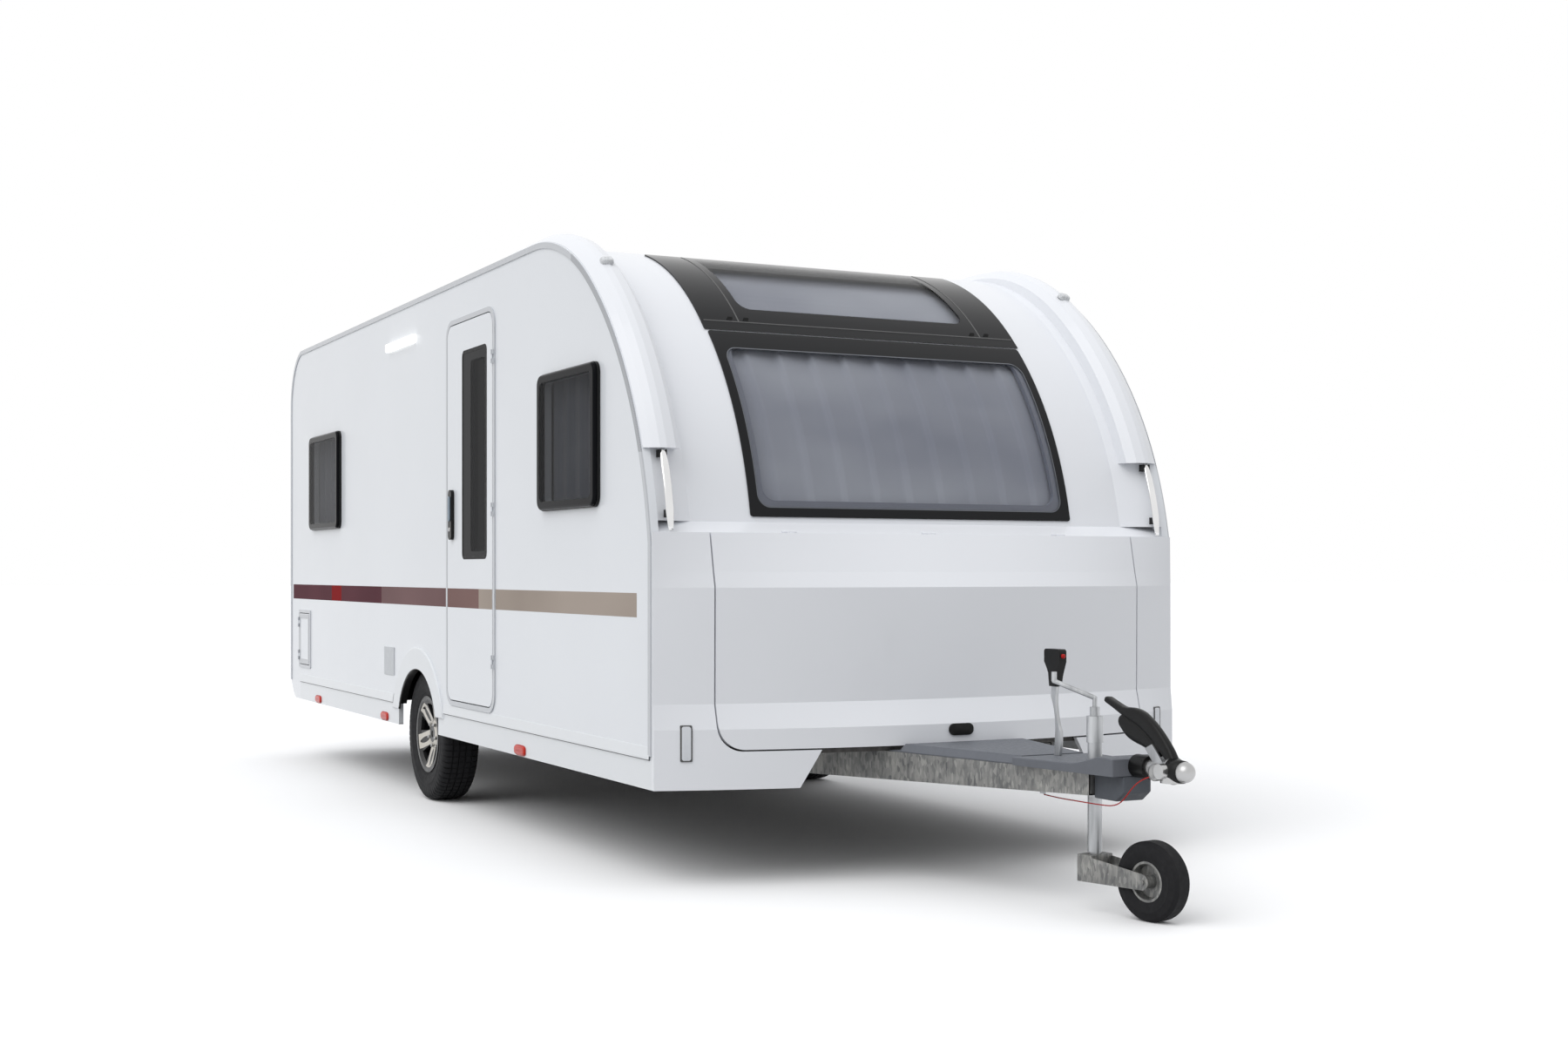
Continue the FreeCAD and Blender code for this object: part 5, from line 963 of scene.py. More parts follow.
def front_blind_rows():
    """The front blind's rows, laid behind the curved window by lines from the front."""
    rows = []
    for height in between(FRONT_LOW.z + 0.008, FRONT_HIGH.z - 0.006, FRONT_ROWS):
        row = []
        for across in between(-FRONT_BLIND_HALF, FRONT_BLIND_HALF,
                              fold_steps(2 * FRONT_BLIND_HALF)):
            reach = min(abs(across), FRONT_HIGH.x - EDGE_IN)
            spot, normal = met_from_front([front_surface], math.copysign(reach, across), height)
            spot.x = across
            row.append(spot - normal * (FRONT_BLIND_BEHIND + FRONT_FOLD * fold(across)))
        rows.append(row)
    return rows


blinds = []
for low, high in blind_parts():
    if high.x - low.x < THIN_BLIND:
        door_side = low.x + high.x < 0
        side = "door_side" if door_side else "far_side"
        end = "front" if low.y < AXLE.y else "rear"
        blinds.append(hang_blind(f"side_blind_{side}_{end}", side_blind_rows(low, high)))
    else:
        blinds.append(hang_blind("front_blind", front_blind_rows()))
for blind in blinds:
    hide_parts("curtains")
print("blinds", len(blinds))

# %% [markdown]
# Seals, bolts and lamps come in sets that share a body and a finish. Each could be an object of
# its own, but one joined piece is easier to handle. Many of them start from a rectangle with
# round corners.


# %% Joined parts and round corners
def join_parts(name, parts, finish, body, slot, smooth=False):
    """One piece from several lists of vertices and faces."""
    vertices = []
    faces = []
    for part_vertices, part_faces in parts:
        start = len(vertices)
        vertices += part_vertices
        faces += [tuple(start + corner for corner in face) for face in part_faces]
    return new_piece(name, vertices, faces, finish, body, slot, smooth)


def rounded_outline(low_a, low_b, high_a, high_b, corner, steps=6):
    """Points of a rounded rectangle on two axes, from its lower corner round."""
    centres = [(high_a - corner, low_b + corner, -90), (high_a - corner, high_b - corner, 0),
               (low_a + corner, high_b - corner, 90), (low_a + corner, low_b + corner, 180)]
    points = []
    for centre_a, centre_b, start in centres:
        for step in range(steps + 1):
            angle = math.radians(start + 90 * step / steps)
            points.append((centre_a + corner * math.cos(angle),
                           centre_b + corner * math.sin(angle)))
    return points


print("points in a rounded outline", len(rounded_outline(0, 0, 1, 1, 0.1)))

# %% [markdown]
# The roof window and the front window are two sheets in one black surface. Thin seals part them,
# and two more part the opening sheet from the fixed black strips beside it. A dark line in the
# finish would look flat, so a seal is a narrow raised strip that follows the curved surface,
# place by place.

# %% Seals of the front windows
sky_surface = surface_of("sky_window")
SEAL_WIDTH = 0.006
SEAL_PROUD = 0.0016
SEAL_SINK = 0.001


def seal_line(points):
    """A raised strip through (across, height) points on the front surface."""
    spots = [met_from_front([front_surface, sky_surface], *point) for point in points]
    spots = [spot for spot in spots if spot is not None]
    rows = []
    for number, (spot, normal) in enumerate(spots):
        ahead = spots[min(number + 1, len(spots) - 1)][0]
        behind = spots[max(number - 1, 0)][0]
        sideways = (ahead - behind).normalized().cross(normal).normalized() * SEAL_WIDTH / 2
        lift = normal * SEAL_PROUD
        sink = -normal * SEAL_SINK
        rows.append([spot - sideways + sink, spot - sideways * 0.7 + lift,
                     spot + sideways * 0.7 + lift, spot + sideways + sink])
    return sheet_of(rows)


SKY_JOINT = 0.562
SKY_FOOT = SKY_LOW.z + 0.038
CLIP_OFFSET = 0.035
seals = [seal_line([(side * SKY_JOINT, height)
                    for height in between(SKY_FOOT, SKY_HIGH.z - 0.004, 24)])
         for side in BOTH]
seals.append(seal_line([(across, SKY_FOOT)
                        for across in between(SKY_LOW.x + 0.01, SKY_HIGH.x - 0.01, 40)]))
join_parts("sky_seals", seals, grained_plastic("joint_grey", grey(92), 0.4), "caravan",
           "black_plastic", True)

clips = []
for side in BOTH:
    for offset in (-CLIP_OFFSET, CLIP_OFFSET):
        spot, normal = met_from_front([front_surface, sky_surface],
                                      side * SKY_JOINT + offset, SKY_FOOT + 0.012)
        outline = [(spot.x + a, spot.y, spot.z + b)
                   for a, b in rounded_outline(-0.011, -0.006, 0.011, 0.006, 0.003, 3)]
        clips.append(plate_of(outline, normal, 0.004))
join_parts("sky_clips", clips, black_plastic, "caravan", "black_plastic")
print("seals", len(seals), "clips", len(clips))

# %% [markdown]
# A road tyre has ribs with grooves between, cross cuts that part its blocks, and raised rings on
# the sidewall. One block could be modelled and repeated round the wheel. Turning the whole
# profile block by block keeps it one closed skin, and the last rows of each block dip, which
# makes the cuts.

# %% Tyres
TREAD_BLOCKS = 66
BLOCK_ROWS = ((0.0, 0), (0.42, 0), (0.80, 0), (0.83, 1), (0.97, 1))
TYRE_LOW, TYRE_HIGH = corners_of("tyre_right")
TYRE_RADIUS = (TYRE_HIGH.z - TYRE_LOW.z) / 2
TYRE_HALF = (TYRE_HIGH.x - TYRE_LOW.x) / 2
RIM_LOW, RIM_HIGH = corners_of("rim_right")
RIM_RADIUS = (RIM_HIGH.z - RIM_LOW.z) / 2
GROOVES = (0.016, 0.047)
GROOVE_HALF = 0.0035
GROOVE_DEPTH = 0.007
GROOVE_SLOPE = 0.001
TREAD_BELOW = 0.0005
TREAD_CROWN = 0.25
TREAD_EDGE, TREAD_EDGE_BELOW = 0.066, 0.0035
CUT_ZONES = ((TYRE_HALF - 0.026, 1.0, 0.026, 0.006), (0.05, TYRE_HALF - 0.005, 0.014, 0.006),
             (-1.0, 0.044, 0.004, 0.003))
SIDEWALL = ((0.012, 0.011), (0.005, 0.022), (0.0015, 0.040), (0.0, 0.062), (0.001, 0.074),
            (0.0, 0.076), (0.0005, 0.080), (0.004, 0.094), (0.0085, 0.112), (0.0095, 0.121),
            (0.0125, 0.124))
BEAD = ((0.0135, 0.001), (0.018, -0.009))


def tyre_side(sign):
    """One half of the tyre's profile, from the middle of the tread to the bead."""
    points = [(0.0, TYRE_RADIUS - TREAD_BELOW)]
    for groove in GROOVES:
        crown = TYRE_RADIUS - TREAD_BELOW - TREAD_CROWN * groove ** 2
        points += [(groove - GROOVE_HALF, crown),
                   (groove - GROOVE_HALF + GROOVE_SLOPE, crown - GROOVE_DEPTH),
                   (groove + GROOVE_HALF - GROOVE_SLOPE, crown - GROOVE_DEPTH),
                   (groove + GROOVE_HALF, crown)]
    points.append((TREAD_EDGE, TYRE_RADIUS - TREAD_EDGE_BELOW))
    points += [(TYRE_HALF - inward, TYRE_RADIUS - down) for inward, down in SIDEWALL]
    points += [(TYRE_HALF - inward, RIM_RADIUS + out) for inward, out in BEAD]
    return [(sign * along, reach) for along, reach in points]


def cut_depth(along, reach):
    """How far a cross cut dips, by the zones of (from, to, below the crown, depth)."""
    for inner, outer, below, depth in CUT_ZONES:
        if inner < abs(along) < outer and reach > TYRE_RADIUS - below:
            return depth
    return 0.0


def tyre_mesh(centre):
    """The two halves of the profile turned block by block, with the cuts dipped."""
    profile = tyre_side(-1)[::-1] + tyre_side(1)[1:]
    rows = []
    for block in range(TREAD_BLOCKS):
        for share, cut in BLOCK_ROWS:
            angle = 2 * math.pi * (block + share) / TREAD_BLOCKS
            row = []
            for along, reach in profile:
                left = reach - cut * cut_depth(along, reach)
                row.append(centre + Vector((along, left * math.cos(angle),
                                            left * math.sin(angle))))
            rows.append(row)
    rows.append(rows[0])
    return sheet_of(rows)


for side in ("right", "left"):
    tyre = new_piece(f"road_tyre_{side}", *tyre_mesh(middle_of(f"tyre_{side}")), tyre_rubber,
                     f"wheel_{side}", "rubber_black", True)
    split = tyre.modifiers.new("groove_edges", "EDGE_SPLIT")
    split.split_angle = math.radians(40)
    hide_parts(f"tyre_{side}")
    print(tyre.name, len(tyre.data.polygons), "faces")

# %% [markdown]
# The wheels are five-spoke alloy with a turned face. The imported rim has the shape. Its faces
# could be given two materials, but then the line between them follows the mesh. So the place
# along the axle, the distance from it and the turn decide: the spokes get a bright turned face
# with a dark slot along the middle, and everything behind them stays dark.

# %% Two-tone wheels
RIM_FACE_IN = 0.046
RIM_BARREL = 0.163
RIM_HUB = 0.042
SPOKE_HALF = 0.037
SLOT_MIDDLE, SLOT_LONG, SLOT_WIDE = 0.115, 0.043, 0.0150
SPOKE_ANGLE = 2 * math.pi / 5
WHOLE_TURNS = 4 * math.pi
SPOKE_SHIFT = WHOLE_TURNS - math.pi / 2
DEEP_SOFT = 0.006
BARREL_SOFT = 0.002
EDGE_SOFT = 0.001
SLOT_STEEPNESS = 8.0
METAL_BRIGHT, METAL_DROP = 0.85, 0.7
SPOKE_BRIGHT = tone(196, 192, 184)
SPOKE_DARK = grey(38)


def turned_face(name, face, outward):
    """Bright spokes on a dark barrel, which shows where a mask rises above 0."""
    finish = new_finish(name, SPOKE_BRIGHT, 0.3, 0.9)
    place = split_place(finish)
    behind = (place["X"] - face) * -outward
    back, rise = place["Y"] - AXLE.y, place["Z"] - AXLE.z
    reach = length_of(back, rise)
    turn = rise.node("ARCTAN2", rise, back) + SPOKE_SHIFT
    beside = abs((turn % SPOKE_ANGLE - SPOKE_ANGLE / 2) * reach)
    slot_along, slot_across = (reach - SLOT_MIDDLE) / SLOT_LONG, beside / SLOT_WIDE
    in_slot = 1 - (slot_along * slot_along + slot_across * slot_across)
    share = highest([(behind - RIM_FACE_IN) / DEEP_SOFT, (reach - RIM_BARREL) / BARREL_SOFT,
                     (RIM_HUB - reach) / BARREL_SOFT, (beside - SPOKE_HALF) / EDGE_SOFT,
                     in_slot * SLOT_STEEPNESS]).clamped()
    lay_over(finish, share, SPOKE_DARK)
    vary_roughness(finish, noise_of(finish, 30), 0.24, 0.36)
    link(finish, METAL_BRIGHT - share * METAL_DROP, shader_of(finish).inputs["Metallic"])
    return finish


for side, outward in SIDES:
    low, high = corners_of(f"rim_{side}")
    face = low.x if outward < 0 else high.x
    dress(f"rim_{side}", turned_face(f"turned_alloy_{side}", face, outward))
print("rims dressed", [side for side, outward in SIDES])

# %% [markdown]
# Bolts, knobs, lamps and buttons are round. A cylinder with bevels comes near, but a profile
# turned round an axis draws any flare or chamfer with one more point. The same ring of points can
# be an oval, which makes bars and grips.


# %% Turned pieces
def capped(rows):
    """Closed rows with a face over each end."""
    vertices, faces = sheet_of(rows, closed=True)
    width = len(rows[0])
    last = len(vertices) - width
    return vertices, faces + [tuple(range(width)), tuple(range(last, last + width))]


def ring_of(centre, across, along, steps, power=2):
    """Points round an oval with these two half axes; a higher power squares it off."""
    points = []
    for step in range(steps):
        angle = 2 * math.pi * step / steps
        cosine, sine = math.cos(angle), math.sin(angle)
        reach = (abs(cosine) ** power + abs(sine) ** power) ** (-1 / power)
        points.append(centre + across * reach * cosine + along * reach * sine)
    return points


def turned(profile, steps, axis_start, axis):
    """Rings of points from (along, radius) pairs round an axis."""
    axis = Vector(axis).normalized()
    side = axis.orthogonal().normalized()
    other = axis.cross(side)
    return [ring_of(Vector(axis_start) + axis * along, side * radius, other * radius, steps)
            for along, radius in profile]


def turned_shell(profile, steps, start, axis):
    """A turned piece, left open at its foot."""
    return sheet_of(turned(profile, steps, start, axis), closed=True)


print("turned pieces are rings of points on a profile")

# %% [markdown]
# Five wheel bolts stand on a ring, and a valve pokes through the rim. They could be part of the
# wheel's mesh, but as pieces of their own they take their own steel and rubber. Each bolt stands
# where a line along the axle meets the rim's face, so none floats or sinks.

# %% Bolts and valves
BOLT_RING = 0.056
BOLT_REACH = 0.0095
BOLT_HEIGHT = 0.012
FIRST_BOLT, BOLT_TURN = 126, 72
VALVE_PROFILE = [(0, 0.0045), (0.018, 0.0045), (0.018, 0.0038), (0.027, 0.0038),
                 (0.0275, 0.0005)]
VALVE_RING = 0.151
VALVE_ANGLE = math.radians(54)
VALVE_OUT = 0.05


def bolt_head(foot, axis):
    """A six-sided head along an axis, chamfered on top."""
    profile = [(0, BOLT_REACH), (BOLT_HEIGHT * 0.8, BOLT_REACH), (BOLT_HEIGHT, BOLT_REACH * 0.82)]
    return capped(turned(profile, 6, foot, axis))


def on_rim(side, centre, axis, ring, angle):
    """Where a line along the axle meets the rim's face."""
    beside = Vector((0, ring * math.cos(angle), ring * math.sin(angle)))
    return surface_of(f"rim_{side}").ray_cast(centre + axis * 0.3 + beside, -axis)[0]


for side, outward in SIDES:
    centre = middle_of(f"rim_{side}")
    axis = Vector((outward, 0, 0))
    bolts = [bolt_head(on_rim(side, centre, axis, BOLT_RING,
                              math.radians(FIRST_BOLT + BOLT_TURN * step)), axis)
             for step in range(5)]
    body = f"wheel_{side}"
    join_parts(f"wheel_bolts_{side}", bolts, bolt_steel, body, "bare_metal")
    stem = centre + Vector((outward * VALVE_OUT, VALVE_RING * math.cos(VALVE_ANGLE),
                            VALVE_RING * math.sin(VALVE_ANGLE)))
    new_piece(f"tyre_valve_{side}", *turned_shell(VALVE_PROFILE, 16, stem, axis), seal_rubber,
              body, "rubber_black", True)
print("wheel bolts", len(bolts), "on each side")

# %% [markdown]
# The brow carries two small clear position lamps, one over each fairing. The surface curves both
# ways there, and a lamp turned by typed angles would stand off at one end. So each is a low pad
# of ovals, laid on the place and slope that a line from the front finds.

# %% Brow lamps
LAMP_ACROSS, LAMP_HEIGHT = 1.071, 2.327
LAMP_LONG, LAMP_WIDE, LAMP_THICK = 0.052, 0.04, 0.014
PAD_STEPS = 32
PAD_BULGE = 4.0
brow = [surface_of(name) for name in ("front_panel", "roof", "side_wall_right",
                                      "side_wall_left")]


def bowed_pad(spot, normal, long_way, length, width, height, base=0.004):
    """A lens-shaped pad on a base plate, lying on a surface."""
    along = Vector(long_way) - normal * normal.dot(Vector(long_way))
    along.normalize()
    aside = normal.cross(along)
    rows = []
    shells = ((1.0, -0.003), (1.0, base), (0.94, base + 0.55 * height),
              (0.78, base + 0.85 * height), (0.5, base + height), (0.02, base + 1.03 * height))
    for share, lift in shells:
        inset = (1 - share) * width / 2
        rows.append(ring_of(spot + normal * lift, along * (length / 2 - inset),
                            aside * (width / 2 - inset), PAD_STEPS, PAD_BULGE))
    return sheet_of(rows, closed=True)


for side_name, side in SIDES:
    spot, normal = met_from_front(brow, side * LAMP_ACROSS, LAMP_HEIGHT)
    new_piece(f"brow_lamp_{side_name}",
              *bowed_pad(spot, normal, (1, 0, 0), LAMP_LONG, LAMP_WIDE, LAMP_THICK),
              clear_lens, "caravan", "lamp_glass", True)
print("brow lamps at", LAMP_HEIGHT)

# %% [markdown]
# The rear corner lamps have a red, an amber and a clear part, parted by thin ribs. The colours
# could be bands in one finish, but lenses that stand a little proud catch the light at their
# edges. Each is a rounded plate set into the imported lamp.

# %% Rear lamp parts
LAMP_LOW, LAMP_HIGH = corners_of("rear_lamps")
REAR_LAMP_WIDTH = 0.18
LENS_MARGIN = 0.008
LENS_SUNK = 0.004
LENS_THICK, LENS_CORNER = 0.012, 0.012
SEGMENTS = ((0.04, 0.33, amber_lens), (0.36, 0.62, red_lens), (0.65, 0.96, clear_lens))
lamp_rise = LAMP_HIGH.z - LAMP_LOW.z
for side_name, side in SIDES:
    left, right = sorted((side * (LAMP_HIGH.x - REAR_LAMP_WIDTH + LENS_MARGIN),
                          side * (LAMP_HIGH.x - LENS_MARGIN)))
    for number, (start, end, finish) in enumerate(SEGMENTS):
        outline = [(across, LAMP_HIGH.y - LENS_SUNK, height)
                   for across, height in rounded_outline(
                       left, LAMP_LOW.z + start * lamp_rise,
                       right, LAMP_LOW.z + end * lamp_rise, LENS_CORNER)]
        new_piece(f"rear_lamp_{side_name}_{number}", *plate_of(outline, REARWARD, LENS_THICK),
                  finish, "caravan", "red_lamp")
print("rear lamp parts", len(SEGMENTS), "on each side")

# %% [markdown]
# Three red marker lamps stand along each sill, low domes on a base of darker red. Their places
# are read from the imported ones, which are plain blocks. The domes are the same pads as on the
# brow, because a real marker has that same soft rim.

# %% Marker lamps
MARKER_LONG, MARKER_WIDE, MARKER_THICK = 0.132, 0.04, 0.006
MARKER_RIM = 0.006
MARKER_SUNK = 0.0045
PACKED_LENGTHS = (0.09, 0.1)
MARKER_LOW, MARKER_HIGH = corners_of("side_markers")
marker_ends = sorted({round(vertex.co.y, 3)
                      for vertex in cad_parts["side_markers"].data.vertices})
middles = [(front + back) / 2 for front, back in zip(marker_ends, marker_ends[1:])
           if PACKED_LENGTHS[0] < back - front < PACKED_LENGTHS[1]]
bases, domes = [], []
for side in BOTH:
    for middle in middles:
        spot = Vector((side * (MARKER_HIGH.x - MARKER_SUNK), middle,
                       (MARKER_LOW.z + MARKER_HIGH.z) / 2))
        place = (spot, Vector((side, 0, 0)), REARWARD)
        bases.append(bowed_pad(*place, MARKER_LONG + MARKER_RIM, MARKER_WIDE + MARKER_RIM,
                               0.0005, 0.003))
        domes.append(bowed_pad(*place, MARKER_LONG, MARKER_WIDE, MARKER_THICK))
marker_bases = join_parts("marker_bases", bases, button_red, "caravan", "red_lamp", True)
marker_domes = join_parts("marker_domes", domes, red_lens, "caravan", "red_lamp", True)
for piece in (marker_bases, marker_domes):
    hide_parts("side_markers")
print("markers", len(domes))

# %% [markdown]
# The grab handles are broad polished bars, a little bowed. A curve with a round bevel would be
# quick, but a bar that is wide and flat and narrows at both ends needs ovals of its own at each
# step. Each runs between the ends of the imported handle.

# %% Grab handles
GRAB_WIDE, GRAB_DEEP = 0.032, 0.015
GRAB_BOW = 0.012
GRAB_ROWS, GRAB_ROUND = 24, 20
END_WITHIN = 0.03
GRAB_LOW, GRAB_HIGH = corners_of("grab_handles")


def grab_end(side, top):
    """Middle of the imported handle's upper or lower end."""
    points = [vertex.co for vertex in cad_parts["grab_handles"].data.vertices
              if vertex.co.x * side > 0
              and (vertex.co.z > GRAB_HIGH.z - END_WITHIN if top
                   else vertex.co.z < GRAB_LOW.z + END_WITHIN)]
    return sum(points, Vector()) / len(points)


def grab_bar(side):
    foot_end, head_end = grab_end(side, False), grab_end(side, True)
    across = Vector((1, 0, 0))
    outward = (head_end - foot_end).normalized().cross(across).normalized()
    if outward.y > 0:
        outward = -outward
    rows = []
    for share in between(0, 1, GRAB_ROWS):
        centre = foot_end.lerp(head_end, share) + outward * GRAB_BOW * math.sin(math.pi * share)
        taper = min(1.0, 0.35 + 3.0 * min(share, 1 - share)) ** 0.5
        wide, deep = GRAB_WIDE / 2 * taper, GRAB_DEEP / 2 * taper
        rows.append(ring_of(centre, across * wide, outward * deep, GRAB_ROUND))
    return capped(rows)


bars = [grab_bar(side) for side in BOTH]
grab_bars = join_parts("grab_bars", bars, chrome, "caravan", "bare_metal", True)
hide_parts("grab_handles")
print("grab bars", len(bars))

# %% [markdown]
# A black collar sits round the neck of the coupling and flares over its round body. A broad steel
# knob stands out on each side of it. All are round about an axis, so each is one turned profile,
# left open where it meets the body.

# %% Coupling collar
HEAD_LOW = corners_of("coupling_head")[0]
COUPLING_AXIS = 0.503
COLLAR_BACK = HEAD_LOW.y + 0.086
COLLAR_PROFILE = [(0.0, 0.038), (0.001, 0.0438), (0.021, 0.0375), (0.047, 0.0355),
                  (0.049, 0.031)]
KNOB_PROFILE = [(0.0, 0.027), (0.020, 0.027), (0.0235, 0.0245), (0.0240, 0.014),
                (0.0225, 0.012), (0.0225, 0.0003)]
KNOB_START = 0.033
KNOB_BEHIND = 0.120
KNOB_DROP = 0.006
new_piece("coupling_collar",
          *turned_shell(COLLAR_PROFILE, 40, (0, COLLAR_BACK, COUPLING_AXIS), -REARWARD),
          black_plastic, "caravan", "black_plastic", True)
knobs = [turned_shell(KNOB_PROFILE, 40, (side * KNOB_START, HEAD_LOW.y + KNOB_BEHIND,
                                         COUPLING_AXIS - KNOB_DROP), (side, 0, 0))
         for side in BOTH]
join_parts("coupling_knobs", knobs, bolt_steel, "caravan", "bare_metal", True)
print("collar and knobs", round(COLLAR_BACK, 3))

# %% [markdown]
# The coupling's handle is moulded in two rounded forms: a long bar that curves over the coupling
# and a fuller grip under it, with a steel lever below. It could be one block with a groove cut
# in. Two rows of oval sections, each along a centre line of its own, swell and thin as the real
# forms do, and the groove between them is a real one.

# %% Coupling handle
LEVER_FOOT = corners_of("coupling_handle")[1].y - 0.338
BAR_HALF, GRIP_HALF = 0.017, 0.015
FULL_WIDTH_FROM = 0.0105
HANDLE_ROUND = 24
OVAL_POWER = 3
SMOOTH_STEPS = 4
BAR_LINE = [(0.334, 0.206, 0.008), (0.330, 0.204, 0.0105), (0.290, 0.189, 0.0115),
            (0.243, 0.172, 0.015), (0.190, 0.162, 0.024), (0.150, 0.150, 0.027),
            (0.100, 0.121, 0.027), (0.055, 0.086, 0.025), (0.020, 0.054, 0.022),
            (-0.004, 0.026, 0.018)]
GRIP_LINE = [(0.262, 0.142, 0.012), (0.257, 0.141, 0.021), (0.240, 0.136, 0.029),
             (0.210, 0.120, 0.034), (0.175, 0.106, 0.033), (0.135, 0.091, 0.028),
             (0.095, 0.072, 0.022), (0.060, 0.050, 0.016)]


def smooth_line(line):
    """The points of a line with more between them, on a curve through them all."""
    fine = []
    for index in range(len(line) - 1):
        before = line[max(0, index - 1)]
        here, after = line[index], line[index + 1]
        beyond = line[min(len(line) - 1, index + 2)]
        for step in range(SMOOTH_STEPS):
            share = step / SMOOTH_STEPS
            fine.append([0.5 * (2 * b + (c - a) * share + (2 * a - 5 * b + 4 * c - d) * share ** 2
                                + (3 * b - a - 3 * c + d) * share ** 3)
                         for a, b, c, d in zip(before, here, after, beyond)])
    return fine + [list(line[-1])]


def handle_form(line, half):
    """Oval sections along a centre line of (back, up, half height)."""
    fine = smooth_line(line)
    aside = Vector((1, 0, 0))
    rows = []
    for index, (back, up, high) in enumerate(fine):
        ahead, behind = fine[min(len(fine) - 1, index + 1)], fine[max(0, index - 1)]
        along = Vector((0, ahead[0] - behind[0], ahead[1] - behind[1])).normalized()
        upright = along.cross(aside)
        centre = Vector((0, LEVER_FOOT + back, COUPLING_AXIS + up))
        wide = half * min(1.0, high / FULL_WIDTH_FROM) ** 0.5
        rows.append(ring_of(centre, aside * wide, upright * high, HANDLE_ROUND, OVAL_POWER))
    return capped(rows)


handle_forms = join_parts("coupling_grip",
                          [handle_form(BAR_LINE, BAR_HALF), handle_form(GRIP_LINE, GRIP_HALF)],
                          black_plastic, "caravan", "black_plastic", True)
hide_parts("coupling_handle")
LEVER_OUTLINE = [(0.020, 0.016), (0.072, 0.016), (0.118, 0.062), (0.082, 0.078)]
LEVER_PLACES = (-0.019, 0.014)
LEVER_THICK = 0.005
levers = [plate_of([(place, LEVER_FOOT + back, COUPLING_AXIS + up) for back, up in LEVER_OUTLINE],
                   (1, 0, 0), LEVER_THICK) for place in LEVER_PLACES]
join_parts("coupling_lever", levers, plated_steel_with_highlights, "caravan", "galvanised")
print("handle", len(handle_forms.data.polygons), "faces")

# %% [markdown]
# The door's handle is a dark oval dish with a blue-grey pull across it, and a lock barrel below.
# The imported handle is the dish. The pull is flat, so a rounded outline made solid is enough, and
# the lock is round, so it is turned.

# %% Door pull
HANDLE_LOW, HANDLE_HIGH = corners_of("door_handle")
PULL_INSET = 0.011
PULL_HALF = 0.03
LOCK_PROFILE = [(0, 0.010), (0.003, 0.010), (0.004, 0.008), (0.0035, 0.001)]
LOCK_DROP = 0.068
handle_middle = middle_of("door_handle")
outline = [(HANDLE_LOW.x - 0.0006, a, b) for a, b in rounded_outline(
    HANDLE_LOW.y + PULL_INSET, handle_middle.z - PULL_HALF, HANDLE_HIGH.y - PULL_INSET,
    HANDLE_HIGH.z - PULL_HALF, 0.012)]
new_piece("door_pull", *plate_of(outline, (-1, 0, 0), 0.004), handle_grey, "door",
          "black_plastic")
lock_place = (HANDLE_LOW.x, handle_middle.y, handle_middle.z - LOCK_DROP)
new_piece("door_lock", *turned_shell(LOCK_PROFILE, 24, lock_place, (-1, 0, 0)), bright_steel,
          "door", "bare_metal", True)
print("door lock at", [round(value, 3) for value in lock_place])

# %% [markdown]
# A dark seal lies in the shut line of the entrance door and of the service hatch, a little below
# the surface, as the rubber between the two parts. A black gasket shows round the door's window,
# and the service hatch's door has a wide grey rim. They could be strips swept along an edge, but
# all are flat frames with round corners, so one function lays them.


# %% Seals, gasket and rim
def ring_plate(name, body, rectangle, corner, width, face, outward, depth=0.002,
               finish=seal_rubber, slot="rubber_black"):
    """A flat frame just inside a rounded rectangle of Y and Z, on a side wall."""
    low_a, low_b, high_a, high_b = rectangle
    outer = rounded_outline(low_a, low_b, high_a, high_b, corner, 8)
    inner = rounded_outline(low_a + width, low_b + width, high_a - width, high_b - width,
                            max(0.002, corner - width), 8)
    rings = [[Vector((face + outward * reach, a, b)) for a, b in outline]
             for reach, outline in ((0.0, outer), (0.0, inner), (depth, inner),
                                    (depth, outer))]
    vertices, faces = sheet_of(rings, closed=True)
    count = len(outer)
    last = 3 * count
    for step in range(count):
        following = (step + 1) % count
        faces.append((last + step, last + following, following, step))
    new_piece(name, vertices, faces, finish, body, slot)


SHUT_LINE = 0.004
SHUT_SEAL_WIDTH = 0.012
for name, leaf, corner in (("door_seal", "entrance_door", 0.06),
                           ("service_seal", "service_door", 0.02)):
    low, high = corners_of(leaf)
    ring_plate(name, "caravan", (low.y - SHUT_LINE, low.z - SHUT_LINE, high.y + SHUT_LINE,
                                 high.z + SHUT_LINE), corner, SHUT_SEAL_WIDTH,
               DOOR_FACE + 0.004, 1)
print("seals laid in the shut lines")

GASKET_REACH = 0.005
GASKET_PROUD = 0.0012
ring_plate("door_window_gasket", "door",
           (DOOR_PANE_LOW.y - GASKET_REACH, DOOR_PANE_LOW.z - GASKET_REACH,
            DOOR_PANE_HIGH.y + GASKET_REACH, DOOR_PANE_HIGH.z + GASKET_REACH),
           0.03, 0.016, door_leaf_face - GASKET_PROUD, 1, depth=0.014)

HATCH_LEAF_LONG = 0.255
RIM_INSET = 0.004
RIM_THICK = 0.0012
HATCH_LOW, HATCH_HIGH = corners_of("service_door")
hatch_middle = middle_of("service_door")
hatch_leaf_face = face_at("service_door", hatch_middle.y, hatch_middle.z)
ring_plate("service_door_rim", "service_hatch",
           (HATCH_LOW.y + RIM_INSET, HATCH_LOW.z + RIM_INSET,
            HATCH_LOW.y + HATCH_LEAF_LONG - RIM_INSET, HATCH_HIGH.z - RIM_INSET),
           0.014, 0.026, hatch_leaf_face, -1, RIM_THICK,
           white_paint("rim_grey", tone(186, 189, 193), 0.02), "gloss_white")
print("leaf faces:", round(door_leaf_face, 4), "door,", round(hatch_leaf_face, 4), "hatch")

